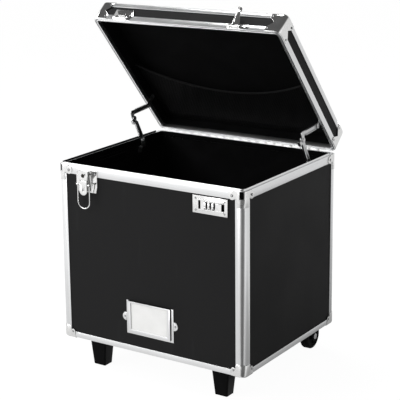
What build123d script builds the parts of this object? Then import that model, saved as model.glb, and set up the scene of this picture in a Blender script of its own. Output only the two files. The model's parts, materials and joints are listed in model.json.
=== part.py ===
"""Portable file box: an aluminium-framed case on two feet and two wheels, with a hinged lid.

All sizes are in millimetres. Z is up, the front with the locks faces -Y, and the floor is z = 0.
Everything is first laid out about the middle of the case. The lid's pieces are drawn with the
lid shut and then swung open. The export at the end moves the whole box along Y, so that the
origin lies under the middle of its bounding box.
"""

from build123d import *
import math
import os

os.makedirs("parts", exist_ok=True)

# ---------------------------------------------------------------- overall sizes
case_w = 394.0            # over the frame, left to right
case_d = 330.0            # over the frame, front to back
body_h = 332.0            # from the underside of the case to its rim
lid_h = 45.0              # from the seam to the top of the lid
ground_gap = 54.0         # from the floor to the underside of the case
lid_open = 49.0           # degrees that the stays let the lid open
corner_r = 11.0           # outer radius of the upright edges

# ---------------------------------------------------------------- boards and aluminium frame
skin = 1.2                # wall of every aluminium section
board_t = 4.0             # laminated side boards
floor_t = 5.0             # floor board
post_flange = 18.0        # reach of a corner post over each board
rim_h = 15.5              # height of the rim section on the body
rim_lip_h = 10.0          # inner lip of the rim section
tongue_h = 3.5            # tongue on the body's rim
tongue_t = 1.0
tongue_setback = 2.4      # from the rim's outer face to the tongue
base_rail_h = 12.0        # height of the bottom edge section
base_rail_r = 4.0         # its rounded outer edge
lid_rim_h = 12.2          # height of the lid's rim section
lid_rim_web = 4.6         # from the seam to the web over the groove
lid_lip_h = 10.0
lid_rail_reach = 13.6     # flanges of the section round the lid's top
lid_rail_r = 8.0          # its rounded outer edge
seam_gap = 0.3            # between the two rims when shut
groove_gap = 0.3          # between the tongue and the groove
lining_t = 1.0

# ---------------------------------------------------------------- corner pieces and rivets
brace_t = 1.0             # sheet of all the corner pieces
brace_reach = 31.0        # along each side, body's top corners
brace_leg_h = 14.0
brace_drop = 29.0         # middle tongue, down the post
brace_tongue_w = 15.0
brace_lobe_r = 7.5
brace_slot_w = 7.5        # open notch where the sheet folds round the corner
brace_slot_shift = 2.1    # from the corner towards the front and the back
brace_slot_h = 14.0
rivet_inset = 24.0        # of the braces' rivets, from the corner
rivet_drop = 9.0
cap_reach = 30.0          # the lid's corner caps
cap_notch = 11.0
foot_cap_reach = 27.0     # the bottom corner caps, along the rails
foot_cap_rise = 22.0      # the same caps, up the posts
foot_cap_lobe_r = 5.0     # round ears with the caps' rivets
rivet_r = 2.6
rivet_h = 1.1

# ---------------------------------------------------------------- hinges and lid stays
hinge_r = 2.5             # knuckle
hinge_pin_r = 1.3
hinge_leaf_t = 1.2
hinge_leaf_w = 320.0
hinge_leaf_h = 22.0
hinge_knuckles = 17
hinge_rivets = 8
knuckle_gap = 0.4
pin_fit = 0.05            # radial clearance of every pin in its moving piece
stay_offset = 84.0        # from the hinge's axis forward to the stays' pivots
stay_drop = 3.0           # degrees that the pivots lie below the seam, seen from the hinge
stay_link = 55.0          # pivot to knee, both links
stay_crank = 12.5         # step of the upper link at the knee
stay_w = 9.0
stay_t = 1.5
stay_flange = 2.2
stay_gap = 0.4            # between the two links
stay_pin_r = 2.0
stay_tab = 9.0            # thumb tab on the lower link

# ---------------------------------------------------------------- feet and wheels
foot_x = 134.0
foot_setback = 20.0       # from the case's front to the foot's front at its top
foot_top = (36.0, 30.0)
foot_base = (26.0, 23.0)
foot_flange = (48.0, 40.0)
foot_flange_t = 2.5
wheel_r = 25.0
wheel_w = 17.0
wheel_hub_r = 18.0
wheel_x = 157.0
wheel_setback = 21.0      # from the case's back to the axle
axle_r = 4.0
cheek_t = 2.4
cheek_gap = 0.6
cheek_nose_r = 10.0
cheek_top_w = 40.0
wheel_plate_t = 2.5

# ---------------------------------------------------------------- telescopic handle
handle_x = 62.0           # each tube, from the middle of the case
outer_tube_r = 9.5
tube_wall = 1.0
tube_fit = 0.1
handle_gap = 3.0          # from the opened lid to the tubes behind it
handle_travel = 230.0     # of each of the two stages
tube_overlap = 50.0       # left inside when pulled out
bracket_wall = 3.0        # round the outer tubes
bracket_h = 22.0
bracket_drop = 30.0       # from the rim down to the top of the upper bracket
grip_h = 26.0
grip_socket = 16.0
grip_wall = 4.0
finger_gap_h = 20.0
button_size = (30.0, 11.0)
button_travel = 2.5
button_proud = 3.0

# ---------------------------------------------------------------- key latch and its catch
latch_x = -132.0
latch_base = (46.0, 41.0)
latch_top_drop = 4.0      # from the rim down to the top of the base
latch_plate_t = 1.2
latch_box = (19.0, 7.5)   # raised middle of the base: width and height off the plate
latch_lock_w = 23.0       # fixed lock housing, upper end
latch_lock_h = 21.0
latch_lever_w = 17.0
latch_lever_h = 25.5
latch_eye_r = 1.5          # hole near the lever's tip
latch_lever_t = 2.0
latch_hinge_r = 1.9
loop_wire_r = 1.1
loop_half = 13.0          # half the loop's width, to the wire's middle
loop_len = 44.2
loop_below = 6.0          # from the lever's hinge down to the loop's pivot
key_r = 3.4
catch_size = (43.0, 23.0)
catch_rise = 1.5          # from the seam up to the catch plate
catch_hook = (15.0, 5.5)
catch_hook_up = 5.5        # from the plate's lower edge to the hook's shelf

# ---------------------------------------------------------------- combination lock and hasp
lock_x = 130.0
lock_plate = (70.0, 31.0, 2.5)
lock_top_drop = 17.5      # from the rim down to the top of the plate
lock_bezel = (55.0, 19.0, 1.0)
lock_rivet = (58.0, 21.0)
lock_rivet_r = 1.7
lock_cut_inset = 3.5      # opening in the board, inside the plate's top and bottom edges
lock_cut_gap = 1.0        # from the slot and from the slide at its limit to the opening's ends
dial_r = 8.0
dial_t = 4.2
dial_pitch = 7.7
dial_proud = 3.4
dial_gap = 0.6            # round each dial in its window
dial_axle_r = 1.6
dial_x = -0.5             # middle dial, from the middle of the plate
slot_x = -20.6            # hasp slot, from the middle of the plate
slot_size = (4.0, 15.0)
slide_x = 18.5
slide_size = (11.5, 12.0)
slide_travel = 4.0
lock_case_depth = 13.0
hasp_w = 14.0
hasp_neck_w = 7.6
hasp_t = 1.6
hasp_end_r = 5.4
hasp_lean = 19.0          # degrees that the raised arm leans off the lid
hasp_base = (41.0, 13.0)
hasp_base_left = 16.0      # from the arm's middle to the base's left end
hasp_rise = 4.2           # from the seam up to the hasp's pin
hasp_pin_r = 1.2
hasp_barrel_r = 2.2
hasp_tongue = (2.4, 4.4, 5.0)   # width, height and reach of the tongue that the lock holds
hasp_tongue_up = 5.0      # from the middle of the slot up to the tongue's middle

# ---------------------------------------------------------------- label holder, rails, pocket
label_size = (101.5, 62.5)
label_z = 66.0            # middle of the frame above the underside of the case
label_x = 0.2
label_flange = (5.0, 3.6)  # low flange round the raised frame: at the sides, along the bottom
label_flange_t = 1.0
label_border = (11.3, 9.4)  # from the edges to the window: at the sides, along the bottom
label_top_border = 3.0
label_t = 4.6
label_sheet = 1.2         # front of the raised frame, before the card
label_ear_r = 8.0
card_t = 0.6
file_rail_front = 14.0    # from the front wall to the end of the side rails
file_rail_gap = 3.0       # from their back ends to the shut stays' tabs
file_rail_drop = 12.0
file_rail_h = 14.0
file_rail_w = 8.0
pocket_depth = 14.0       # below the lid's lining
pocket_mouth = 53.0       # middle of the hem, behind the middle of the lid
pocket_sag = 56.0         # how far the hem's ends lie in front of its middle
pocket_t = 1.5
hem_r = 2.0
hem_gap = 0.1

# ---------------------------------------------------------------- planes that follow from the sizes
half_w = case_w / 2
half_d = case_d / 2
base_z = ground_gap
rim_z = base_z + body_h
lid_top = rim_z + lid_h
board_out = skin                      # depth of the boards' outer face behind the frame's
board_in = skin + board_t
rim_in = board_in + skin              # depth of the rim's inner face
lining_in = board_in + lining_t
hinge_y = half_d + hinge_r + 0.1
hinge_z = rim_z + seam_gap / 2
front_face = -half_d                  # frame's front plane
board_face = front_face + board_out   # boards' front plane
lid_roof = lid_top - skin - board_t - lining_t
pocket_z = lid_roof - pocket_depth    # underside of the pocket's sheet, lid shut


# ---------------------------------------------------------------- small helpers
def block(x0, x1, y0, y1, z0, z1):
    """A box between two corners."""
    return Pos((x0 + x1) / 2, (y0 + y1) / 2, (z0 + z1) / 2) * Box(x1 - x0, y1 - y0, z1 - z0)


def rod(axis, radius, start, end, u, v):
    """A round bar along X, Y or Z; u and v are its other two coordinates in X, Y, Z order."""
    length = end - start
    middle = (start + end) / 2
    if axis == "x":
        return Pos(middle, u, v) * Rot(0, 90, 0) * Cylinder(radius, length)
    if axis == "y":
        return Pos(u, middle, v) * Rot(90, 0, 0) * Cylinder(radius, length)
    return Pos(u, v, middle) * Cylinder(radius, length)


def prism(inset, z0, z1, grow=0.0):
    """The case's rounded outline, taken in or grown, as a solid from z0 to z1."""
    width = case_w - 2 * inset + 2 * grow
    depth = case_d - 2 * inset + 2 * grow
    radius = max(corner_r - inset + grow, 0.5)
    return extrude(Plane.XY.offset(z0) * RectangleRounded(width, depth, radius), z1 - z0)


def ring(outer_inset, inner_inset, z0, z1):
    """A band that follows the case's outline between two insets."""
    return prism(outer_inset, z0, z1) - prism(inner_inset, z0 - 1, z1 + 1)


def domed(inset, z0, z1, edge_r, grow=0.0):
    """A prism whose top edge is rounded over."""
    solid = prism(inset, z0, z1, grow)
    return fillet(solid.faces().sort_by(Axis.Z)[-1].edges(), edge_r)


def keeled(inset, z0, z1, edge_r, grow=0.0):
    """A prism whose bottom edge is rounded under."""
    solid = prism(inset, z0, z1, grow)
    return fillet(solid.faces().sort_by(Axis.Z)[0].edges(), edge_r)


def four(shape):
    """The shape at all four corners of the case, from the one at the front right."""
    front = [shape, mirror(shape, about=Plane.YZ)]
    return front + [mirror(piece, about=Plane.XZ) for piece in front]


def both(shape):
    """The shape on the right and its mirror image on the left."""
    return [shape, mirror(shape, about=Plane.YZ)]


def rivet(axis, sign, face, u, v, radius=rivet_r, height=rivet_h):
    """A rivet head standing on a face square to an axis; sign is the way out."""
    start, end = sorted((face, face + sign * height))
    head = rod(axis, radius, start, end, u, v)
    outer = head.edges().filter_by(GeomType.CIRCLE).sort_by({"x": Axis.X, "y": Axis.Y, "z": Axis.Z}[axis])
    return fillet(outer[-1 if sign > 0 else 0], height * 0.7)


def group(pieces):
    """Separate solids that share one node."""
    return Compound(children=[solid for piece in pieces for solid in piece.solids()])


def swing(shape):
    """A piece of the shut lid, carried to where the open lid has it."""
    return shape.rotate(Axis((0, hinge_y, hinge_z), (1, 0, 0)), -lid_open)


# ---------------------------------------------------------------- body: boards, frame, lining
def lock_cut(y0, y1):
    """The opening through the front board and lining for the combination lock."""
    half_h = lock_plate[1] / 2 - lock_cut_inset
    x0 = lock_x + slot_x - slot_size[0] / 2 - lock_cut_gap
    x1 = lock_x + slide_x + slide_size[0] / 2 + slide_travel + lock_cut_gap
    return block(x0, x1, y0, y1, lock_z - half_h, lock_z + half_h)


def lock_case_box(y0, y1, gap=0.0):
    """The outline of the cover behind the combination lock."""
    plate_w, plate_h, _ = lock_plate
    return block(lock_x - plate_w / 2 + 4 - gap, lock_x + plate_w / 2 - 2 + gap, y0, y1,
                 lock_z - plate_h / 2 - gap, lock_z + plate_h / 2 + gap)


def side_boards():
    """The four walls, each between the corner posts."""
    z0 = base_z + base_rail_r
    z1 = rim_z - skin
    span_x = half_w - corner_r
    span_y = half_d - corner_r
    front = block(-span_x, span_x, front_face + board_out, front_face + board_in, z0, z1)
    back = mirror(front, about=Plane.XZ)
    right = block(half_w - board_in, half_w - board_out, -span_y, span_y, z0, z1)
    left = mirror(right, about=Plane.YZ)
    return front - lock_cut(-half_d - 5, -half_d + 10), back, left, right


def floor_board():
    return prism(board_in, base_z + skin, base_z + skin + floor_t)


def corner_posts():
    """Upright sections: a rounded skin over the boards' edges and a core that joins them."""
    z0 = base_z + base_rail_h
    z1 = rim_z - rim_h
    reach = block(half_w - post_flange, half_w + 1, -half_d - 1, -half_d + post_flange, z0, z1)
    core_reach = block(half_w - corner_r, half_w + 1, -half_d - 1, -half_d + corner_r, base_z, rim_z)
    outside = ring(0, skin, z0, z1) & reach
    core = ring(skin, board_in, base_z + base_rail_r, rim_z - skin) & core_reach
    return group(four(outside + core))


def bottom_edge_rails():
    """The L section round the underside, with a rounded outer edge."""
    z1 = base_z + base_rail_h
    outside = keeled(0, base_z, z1, base_rail_r)
    inside = keeled(skin, base_z + skin, z1 + 1, base_rail_r - skin)
    window = prism(base_rail_h, base_z - 1, base_z + 2)
    return outside - inside - window


def fold_slot(z1):
    """The open notch in the rim and its brace at the fold of one corner, up to z1."""
    z0 = rim_z - brace_slot_h
    place = Pos(half_w - brace_slot_shift, -half_d - brace_slot_shift, (z0 + z1) / 2)
    return place * Rot(0, 0, 45) * Box(brace_slot_w, 4 * brace_tongue_w, z1 - z0)


def rim_rail():
    """The section round the body's rim, with an inner lip and a tongue on three sides."""
    shell = ring(0, skin, rim_z - rim_h, rim_z)
    for slot in four(fold_slot(rim_z - skin)):
        shell -= slot
    cap = ring(0, rim_in, rim_z - skin, rim_z)
    lip = ring(board_in, rim_in, rim_z - rim_lip_h, rim_z)
    tongue = ring(tongue_setback, tongue_setback + tongue_t, rim_z - skin / 2, rim_z + tongue_h)
    back_end = block(-half_w, half_w, half_d - 2 * corner_r, half_d, rim_z, lid_top)
    return shell + cap + lip + (tongue - back_end)


def body_lining():
    """The thin dark lining inside the walls and over the floor."""
    z0 = base_z + skin + floor_t
    walls = ring(board_in, lining_in, z0, rim_z - rim_lip_h)
    floor = prism(board_in, z0, z0 + lining_t)
    return walls + floor - lock_case_box(front_face, front_face + 2 * board_in, 0.5)


def file_rails():
    """J-shaped rails along both side walls for the hooks of hanging folders."""
    wall = half_w - lining_in
    top = rim_z - file_rail_drop
    y0 = front_face + file_rail_front
    y1 = stay_y - stay_link - stay_w / 3 - file_rail_gap
    back = block(wall - skin, wall, y0, y1, top - file_rail_h, top)
    shelf = block(wall - file_rail_w, wall, y0, y1, top - file_rail_h, top - file_rail_h + skin)
    edge = block(wall - file_rail_w, wall - file_rail_w + skin, y0, y1, top - file_rail_h, top - 3)
    return group(both(back + shelf + edge))


# ---------------------------------------------------------------- corner pieces
def rim_corner_braces():
    """Folded braces over the rim's corners: a leg each way, a tongue down, a notch in the fold."""
    shell = prism(0, rim_z - brace_drop, rim_z, brace_t) - prism(0, rim_z - brace_drop - 1, rim_z + 1)
    x1 = half_w + 2
    y0 = -half_d - 2
    legs = block(half_w - brace_reach + brace_lobe_r, x1, y0, y0 + brace_reach - brace_lobe_r + 2,
                 rim_z - brace_leg_h, rim_z)
    tongue = block(half_w - brace_tongue_w, x1, y0, -half_d + brace_tongue_w, rim_z - brace_drop, rim_z)
    keep = legs + tongue
    keep += rod("y", brace_lobe_r, y0, 0, half_w - rivet_inset, rim_z - rivet_drop)
    keep += rod("x", brace_lobe_r, 0, x1, -half_d + rivet_inset, rim_z - rivet_drop)
    return group(four(shell & keep - fold_slot(rim_z + 1)))


def bottom_corner_caps():
    """Rounded three-way caps over the bottom corners."""
    z1 = base_z + foot_cap_rise
    shell = keeled(0, base_z - brace_t, z1, base_rail_r + brace_t, brace_t)
    shell -= keeled(0, base_z, z1 + 1, base_rail_r)
    reach = foot_cap_reach
    ear = foot_cap_reach - foot_cap_lobe_r
    keep = block(half_w - reach, half_w + 2, -half_d - 2, -half_d + reach, base_z - 2, base_z + base_rail_h - 1)
    keep += block(half_w - post_flange, half_w + 2, -half_d - 2, -half_d + post_flange, base_z, z1)
    keep += rod("y", foot_cap_lobe_r, -half_d - 2, 0, half_w - ear, base_z + base_rail_h)
    keep += rod("x", foot_cap_lobe_r, 0, half_w + 2, -half_d + ear, base_z + base_rail_h)
    return group(four(shell & keep))


def lid_cap_keep(grow):
    """The region that one lid corner cap covers, with a notch into each side."""
    reach = cap_reach + grow
    z0 = rim_z + seam_gap + 1
    keep = block(half_w - reach, half_w + 2, -half_d - 2, -half_d + reach, z0, lid_top + 2)
    middle = (rim_z + lid_rim_h + lid_top - lid_rail_reach) / 2
    half = middle - rim_z - lid_rim_h + 1
    notch = Polyline((reach, -half), (reach - cap_notch, 0), (reach, half), close=True)
    wedge = extrude(Plane.YZ * make_face(notch), 2 * case_w, both=True)
    keep -= Pos(0, -half_d, middle) * wedge
    wedge_x = extrude(Plane.XZ * make_face(Polyline((-reach, -half), (cap_notch - reach, 0), (-reach, half),
                                                    close=True)), case_d, both=True)
    keep -= Pos(half_w, 0, middle) * wedge_x
    corner = Pos(half_w - reach, -half_d + reach, lid_top)
    return keep - corner * Cylinder(reach - corner_r, 8)


def lid_corner_caps():
    shell = domed(0, rim_z + 2, lid_top + brace_t, lid_rail_r + brace_t, brace_t)
    shell -= domed(0, rim_z + 1, lid_top, lid_rail_r)
    return group(four(shell & lid_cap_keep(0)))


# ---------------------------------------------------------------- lid shell
def lid_boards():
    """The top board and the four narrow side boards."""
    top = prism(lid_rail_r, lid_top - skin - board_t, lid_top - skin)
    z0 = rim_z + lid_rim_web + skin
    z1 = lid_top - lid_rail_r
    span_x = half_w - corner_r
    span_y = half_d - corner_r
    front = block(-span_x, span_x, front_face + board_out, front_face + board_in, z0, z1)
    right = block(half_w - board_in, half_w - board_out, -span_y, span_y, z0, z1)
    sides = [front, mirror(front, about=Plane.XZ)] + both(right)
    return top, group(sides)


def lid_top_rail():
    """The rounded section round the lid's top edge."""
    z0 = lid_top - lid_rail_reach
    outside = domed(0, z0, lid_top, lid_rail_r)
    inside = domed(skin, z0 - 1, lid_top - skin, lid_rail_r - skin)
    return outside - inside - prism(lid_rail_reach, lid_top - 3, lid_top + 1)


def lid_rim_rail():
    """The section round the lid's rim, with a groove for the body's tongue."""
    z0 = rim_z + seam_gap
    web = rim_z + lid_rim_web
    groove_out = tongue_setback - groove_gap
    groove_in = tongue_setback + tongue_t + groove_gap
    rail = ring(0, skin, z0, rim_z + lid_rim_h)
    rail += ring(0, groove_out, z0, web + skin)
    rail += ring(0, rim_in, web, web + skin)
    rail += ring(groove_in, rim_in, z0, web + skin)
    return rail + ring(board_in, rim_in, z0, rim_z + lid_lip_h)


def lid_lining():
    z0 = rim_z + lid_lip_h
    z1 = lid_top - skin - board_t
    return ring(board_in, lining_in, z0, z1) + prism(board_in, z1 - lining_t, z1)


def mouth_arc(z, offset=0.0):
    """The pocket's mouth: an arc that sags towards the hinges in the middle of the lid."""
    x1 = half_w - lining_in
    radius = (x1**2 + pocket_sag**2) / (2 * pocket_sag)
    centre = pocket_mouth - radius
    end = centre + ((radius - offset) ** 2 - x1**2) ** 0.5
    return ThreePointArc((-x1, end, z), (0, centre + radius - offset, z), (x1, end, z))


def mesh_pocket():
    """The flat body of the pocket, closed to the lining at its back and both ends."""
    inside = prism(lining_in, pocket_z, lid_roof)
    hollow = prism(lining_in + pocket_t, pocket_z + pocket_t, lid_roof + 1)
    x1 = half_w - lining_in
    y0 = pocket_mouth - pocket_sag
    sides = Polyline((x1, y0, pocket_z), (x1, half_d, pocket_z), (-x1, half_d, pocket_z), (-x1, y0, pocket_z))
    return (inside - hollow) & extrude(make_face(mouth_arc(pocket_z) + sides), lid_roof - pocket_z, dir=(0, 0, 1))


def pocket_hem():
    """The elastic edge along the pocket's mouth."""
    path = mouth_arc(pocket_z + pocket_t / 2, hem_r + hem_gap)
    hem = sweep(Plane(path @ 0, z_dir=path % 0) * Circle(hem_r), path)
    return hem & prism(lining_in, pocket_z - 3, lid_roof)


# ---------------------------------------------------------------- hinges
def knuckle_cuts(shape, first):
    """Every second knuckle's place is taken out of one leaf."""
    step = hinge_leaf_w / hinge_knuckles
    for index in range(hinge_knuckles):
        if index % 2 == first:
            x0 = -hinge_leaf_w / 2 + index * step - knuckle_gap
            reach = hinge_r + knuckle_gap
            shape -= block(x0, x0 + step + 2 * knuckle_gap, -reach, reach, -reach, reach)
    return shape


def hinge_leaf(upper):
    """One leaf with its knuckles, drawn about the pin's axis."""
    bore = hinge_pin_r + (pin_fit if upper else 0)
    barrel = rod("x", hinge_r, -hinge_leaf_w / 2, hinge_leaf_w / 2, 0, 0)
    inner = -(hinge_y - half_d)
    plate = block(-hinge_leaf_w / 2, hinge_leaf_w / 2, inner, inner + hinge_leaf_t, 0, hinge_leaf_h)
    leaf = plate if upper else mirror(plate, about=Plane.XY)
    leaf = leaf + barrel - rod("x", bore, -hinge_leaf_w, hinge_leaf_w, 0, 0)
    return knuckle_cuts(leaf, 0 if upper else 1)


def hinge():
    """The long hinge: the body's leaf, the lid's leaf and the pin."""
    place = Pos(0, hinge_y, hinge_z)
    pin = rod("x", hinge_pin_r, -hinge_leaf_w / 2, hinge_leaf_w / 2, 0, 0)
    return [place * piece for piece in (hinge_leaf(False), hinge_leaf(True), pin)]


def hinge_rivet_row(z):
    """Rivet heads along one leaf of the hinge."""
    spacing = hinge_leaf_w / hinge_rivets
    places = [(index + 0.5) * spacing - hinge_leaf_w / 2 for index in range(hinge_rivets)]
    return [rivet("y", 1, half_d + hinge_leaf_t, x, z, 2.2, 0.9) for x in places]


# ---------------------------------------------------------------- lid stays
stay_wall = half_w - rim_in                               # inner face of the rims
upper_x1 = stay_wall - stay_gap - stay_flange - stay_gap  # outer face of the upper link's web
lower_x1 = upper_x1 - stay_t - stay_gap                   # outer face of the lower link's web
knee_reach = math.sqrt(stay_link ** 2 - (stay_offset * math.sin(math.radians(lid_open / 2))) ** 2)
knee_reach += stay_offset * math.cos(math.radians(lid_open / 2))
stay_angle = math.degrees(math.atan2(knee_reach * math.sin(math.radians(lid_open / 2)),
                                     knee_reach * math.cos(math.radians(lid_open / 2)) - stay_offset))
stay_y = hinge_y - stay_offset * math.cos(math.radians(stay_drop))
stay_z = hinge_z - stay_offset * math.sin(math.radians(stay_drop))


def link_plate(x0, x1, points):
    """A flat strip with round ends through the given (y, z) points."""
    strip = None
    for start, end in zip(points, points[1:]):
        run = Vector(end[0] - start[0], end[1] - start[1])
        turn = math.degrees(math.atan2(run.Y, run.X))
        middle = ((start[0] + end[0]) / 2, (start[1] + end[1]) / 2)
        slot = Pos(middle[0], middle[1]) * Rot(0, 0, turn) * SlotCenterToCenter(run.length, stay_w)
        piece = extrude(Plane.YZ.offset(x0) * slot, x1 - x0)
        strip = piece if strip is None else strip + piece
    return strip


def edge_flanges(x0, x1, start, end):
    """The two turned-over edges of a link between its round ends."""
    run = Vector(end[0] - start[0], end[1] - start[1])
    turn = math.degrees(math.atan2(run.Y, run.X))
    length = run.length - 2 * stay_w
    place = Pos(0, (start[0] + end[0]) / 2, (start[1] + end[1]) / 2) * Rot(turn, 0, 0)
    edge = block(x0, x1, -length / 2, length / 2, stay_w / 2 - skin, stay_w / 2)
    return place * edge + place * mirror(edge, about=Plane.XY)


def stay_lower():
    """Pivot at the origin, knee straight ahead; turned up to where the open lid has it."""
    knee = (-stay_link, 0)
    x0 = lower_x1 - stay_t
    link = link_plate(x0, lower_x1, [(0, 0), knee])
    link += edge_flanges(x0 - stay_flange, x0, (0, 0), knee)
    tab_z = -stay_w / 2 - stay_tab * 0.55
    tab_y = -stay_link - stay_w / 3
    link += block(x0, lower_x1, tab_y, tab_y + stay_w, tab_z, 0)
    link += block(x0 - 4, lower_x1, tab_y, tab_y + stay_w, tab_z - skin, tab_z)
    link += rod("x", stay_w / 2 + 1, x0 - 1.2, x0, -stay_link, 0)
    link -= rod("x", stay_pin_r + pin_fit, x0 - 5, lower_x1 + 5, 0, 0)
    return Pos(0, stay_y, stay_z) * Rot(stay_drop - stay_angle, 0, 0) * link


def stay_upper():
    """The cranked link on the lid, drawn along the seam and turned to where it stands."""
    x0 = upper_x1 - stay_t
    knee = (-stay_link, 0)
    elbow = (-stay_link, stay_crank)
    link = link_plate(x0, upper_x1, [(0, 0), elbow, knee])
    link += edge_flanges(upper_x1, upper_x1 + stay_flange, (0, 0), elbow)
    link += rod("x", stay_w / 2 - 0.5, upper_x1, upper_x1 + 1.2, *knee)
    link -= rod("x", stay_pin_r + pin_fit, x0 - 5, upper_x1 + 5, 0, 0)
    return swing(Pos(0, stay_y, stay_z) * Rot(stay_drop + stay_angle, 0, 0) * link)


def stay_body_bracket():
    """An angle below the rim that carries the lower link's pin on an upright ear."""
    x1 = lower_x1 - stay_t - stay_gap
    wall = half_w - lining_in
    ear = block(x1 - skin, x1, stay_y - 6, stay_y + 6, rim_z - rim_lip_h - 6, stay_z)
    ear += rod("x", 6, x1 - skin, x1, stay_y, stay_z)
    shelf = block(x1 - skin, wall, stay_y - 6, stay_y + 6, rim_z - rim_lip_h - 7.2, rim_z - rim_lip_h - 6)
    leg = block(wall - skin, wall, stay_y - 6, stay_y + 6, rim_z - rim_lip_h - 20, rim_z - rim_lip_h - 6)
    pin = rod("x", stay_pin_r, x1 - skin - 1.5, lower_x1, stay_y, stay_z)
    pin += rod("x", stay_pin_r + 1.4, x1 - skin - 1.5, x1 - skin, stay_y, stay_z)
    return ear + shelf + leg + pin


def stay_lid_bracket():
    """A plate on the lid's lining whose lower end carries the upper link's pin."""
    x0 = upper_x1 + stay_gap
    wall = half_w - lining_in
    top = pocket_z - 2
    plate = block(x0, x0 + skin, stay_y - 5, stay_y + 5, stay_z, top)
    plate += rod("x", 5, x0, x0 + skin, stay_y, stay_z)
    plate += block(x0, wall, stay_y - 5, stay_y + 5, rim_z + lid_lip_h + 1, top)
    plate += rod("x", stay_pin_r, upper_x1 - stay_t, x0, stay_y, stay_z)
    return swing(plate)


# ---------------------------------------------------------------- feet and wheels
foot_y = -half_d + foot_setback + foot_top[1] / 2
wheel_y = half_d - wheel_setback


def foot(side):
    """A tapered plastic foot with a flange against the case."""
    top_z = base_z + skin - foot_flange_t
    low = Plane.XY * RectangleRounded(*foot_base, 3)
    high = Plane.XY.offset(top_z) * RectangleRounded(*foot_top, 3)
    body = loft(Sketch() + [low, high])
    flange = extrude(Plane.XY.offset(top_z) * RectangleRounded(*foot_flange, 4), foot_flange_t)
    return Pos(side * foot_x, foot_y, 0) * (body + flange)


def wheel(side):
    """A solid tyre on a plastic hub; the hub turns on the axle."""
    x0 = side * wheel_x - wheel_w / 2
    x1 = side * wheel_x + wheel_w / 2
    tyre = rod("x", wheel_r, x0, x1, wheel_y, wheel_r)
    tyre = fillet(tyre.edges().filter_by(GeomType.CIRCLE), 3)
    tyre -= rod("x", wheel_hub_r, x0 - 1, x1 + 1, wheel_y, wheel_r)
    hub = rod("x", wheel_hub_r, x0 + 1, x1 - 1, wheel_y, wheel_r)
    dish = rod("x", wheel_hub_r - 3, x1 - 4, x1, wheel_y, wheel_r)
    hub = hub - dish - mirror_x(dish, side * wheel_x) + rod("x", axle_r + 4, x0, x1, wheel_y, wheel_r)
    hub -= rod("x", axle_r + pin_fit, x0 - 1, x1 + 1, wheel_y, wheel_r)
    return tyre, hub


def mirror_x(shape, x):
    """The shape mirrored in the plane square to X at x."""
    return mirror(shape, about=Plane.YZ.offset(x))


def wheel_bracket(side):
    """A plate under the case with two cheeks that hold the axle."""
    middle = side * wheel_x
    inner = wheel_w / 2 + cheek_gap
    plate = block(middle - inner - cheek_t, middle + inner + cheek_t, wheel_y - cheek_top_w / 2,
                  wheel_y + cheek_top_w / 2, base_z - wheel_plate_t, base_z)
    nose = Pos(wheel_y, wheel_r) * Circle(cheek_nose_r)
    root = Pos(wheel_y, base_z - 2) * Rectangle(cheek_top_w, 4)
    outline = Plane.YZ.offset(middle + inner) * make_hull(nose.edges() + root.edges())
    cheek = extrude(outline, cheek_t)
    bracket = plate + cheek + mirror_x(cheek, middle)
    return bracket - rod("x", axle_r, middle - 40, middle + 40, wheel_y, wheel_r)


def wheel_axle(side):
    middle = side * wheel_x
    reach = wheel_w / 2 + cheek_gap + cheek_t
    axle = rod("x", axle_r, middle - reach, middle + reach, wheel_y, wheel_r)
    for end in (-1, 1):
        face = middle + end * reach
        axle += rod("x", axle_r + 1.5, min(face, face + end * 1.6), max(face, face + end * 1.6), wheel_y, wheel_r)
    return axle


# ---------------------------------------------------------------- telescopic handle
lean = math.radians(lid_open)
sweep_y = (lid_h - lid_rail_r - hinge_z + rim_z) * math.sin(lean)
sweep_y += lid_rail_r + brace_t - (hinge_y - half_d + lid_rail_r) * math.cos(lean)
middle_tube_r = outer_tube_r - tube_wall - tube_fit
inner_tube_r = middle_tube_r - tube_wall - tube_fit
handle_y = hinge_y + sweep_y + handle_gap + outer_tube_r
bracket_top = rim_z - bracket_drop
outer_z0 = base_z + base_rail_h + 4
middle_z0 = bracket_top - handle_travel - tube_overlap
grip_z0 = bracket_top + 0.5
grip_r = outer_tube_r + bracket_wall


def tubes(radius, z0, z1):
    """A pair of round tubes, left and right."""
    tube = rod("z", radius, z0, z1, handle_x, handle_y) - rod("z", radius - tube_wall, z0 - 1, z1 + 1,
                                                              handle_x, handle_y)
    return group(both(tube))


def handle_bracket(z0, z1, gap):
    """A moulding that holds both outer tubes off the back board; gap is the grip's finger gap."""
    back = handle_y + grip_r
    wall = half_d - board_out
    arms = block(handle_x - grip_r, handle_x + grip_r, wall, handle_y, z0, z1)
    arms += rod("z", grip_r, z0, z1, handle_x, handle_y)
    bar = block(-handle_x, handle_x, wall, wall + 6, z0, z1)
    front_bar = block(-handle_x, handle_x, handle_y - 4, handle_y + 4, z0, z1 - gap)
    bracket = arms + mirror(arms, about=Plane.YZ) + bar
    bracket = bracket + front_bar if z1 - gap > z0 + 1 else bracket
    bracket = bracket & block(-case_w, case_w, wall, back + 1, z0, z1)
    for side in (-1, 1):
        bracket -= rod("z", outer_tube_r, z0 - 1, z1 + 1, side * handle_x, handle_y)
    return bracket


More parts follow.
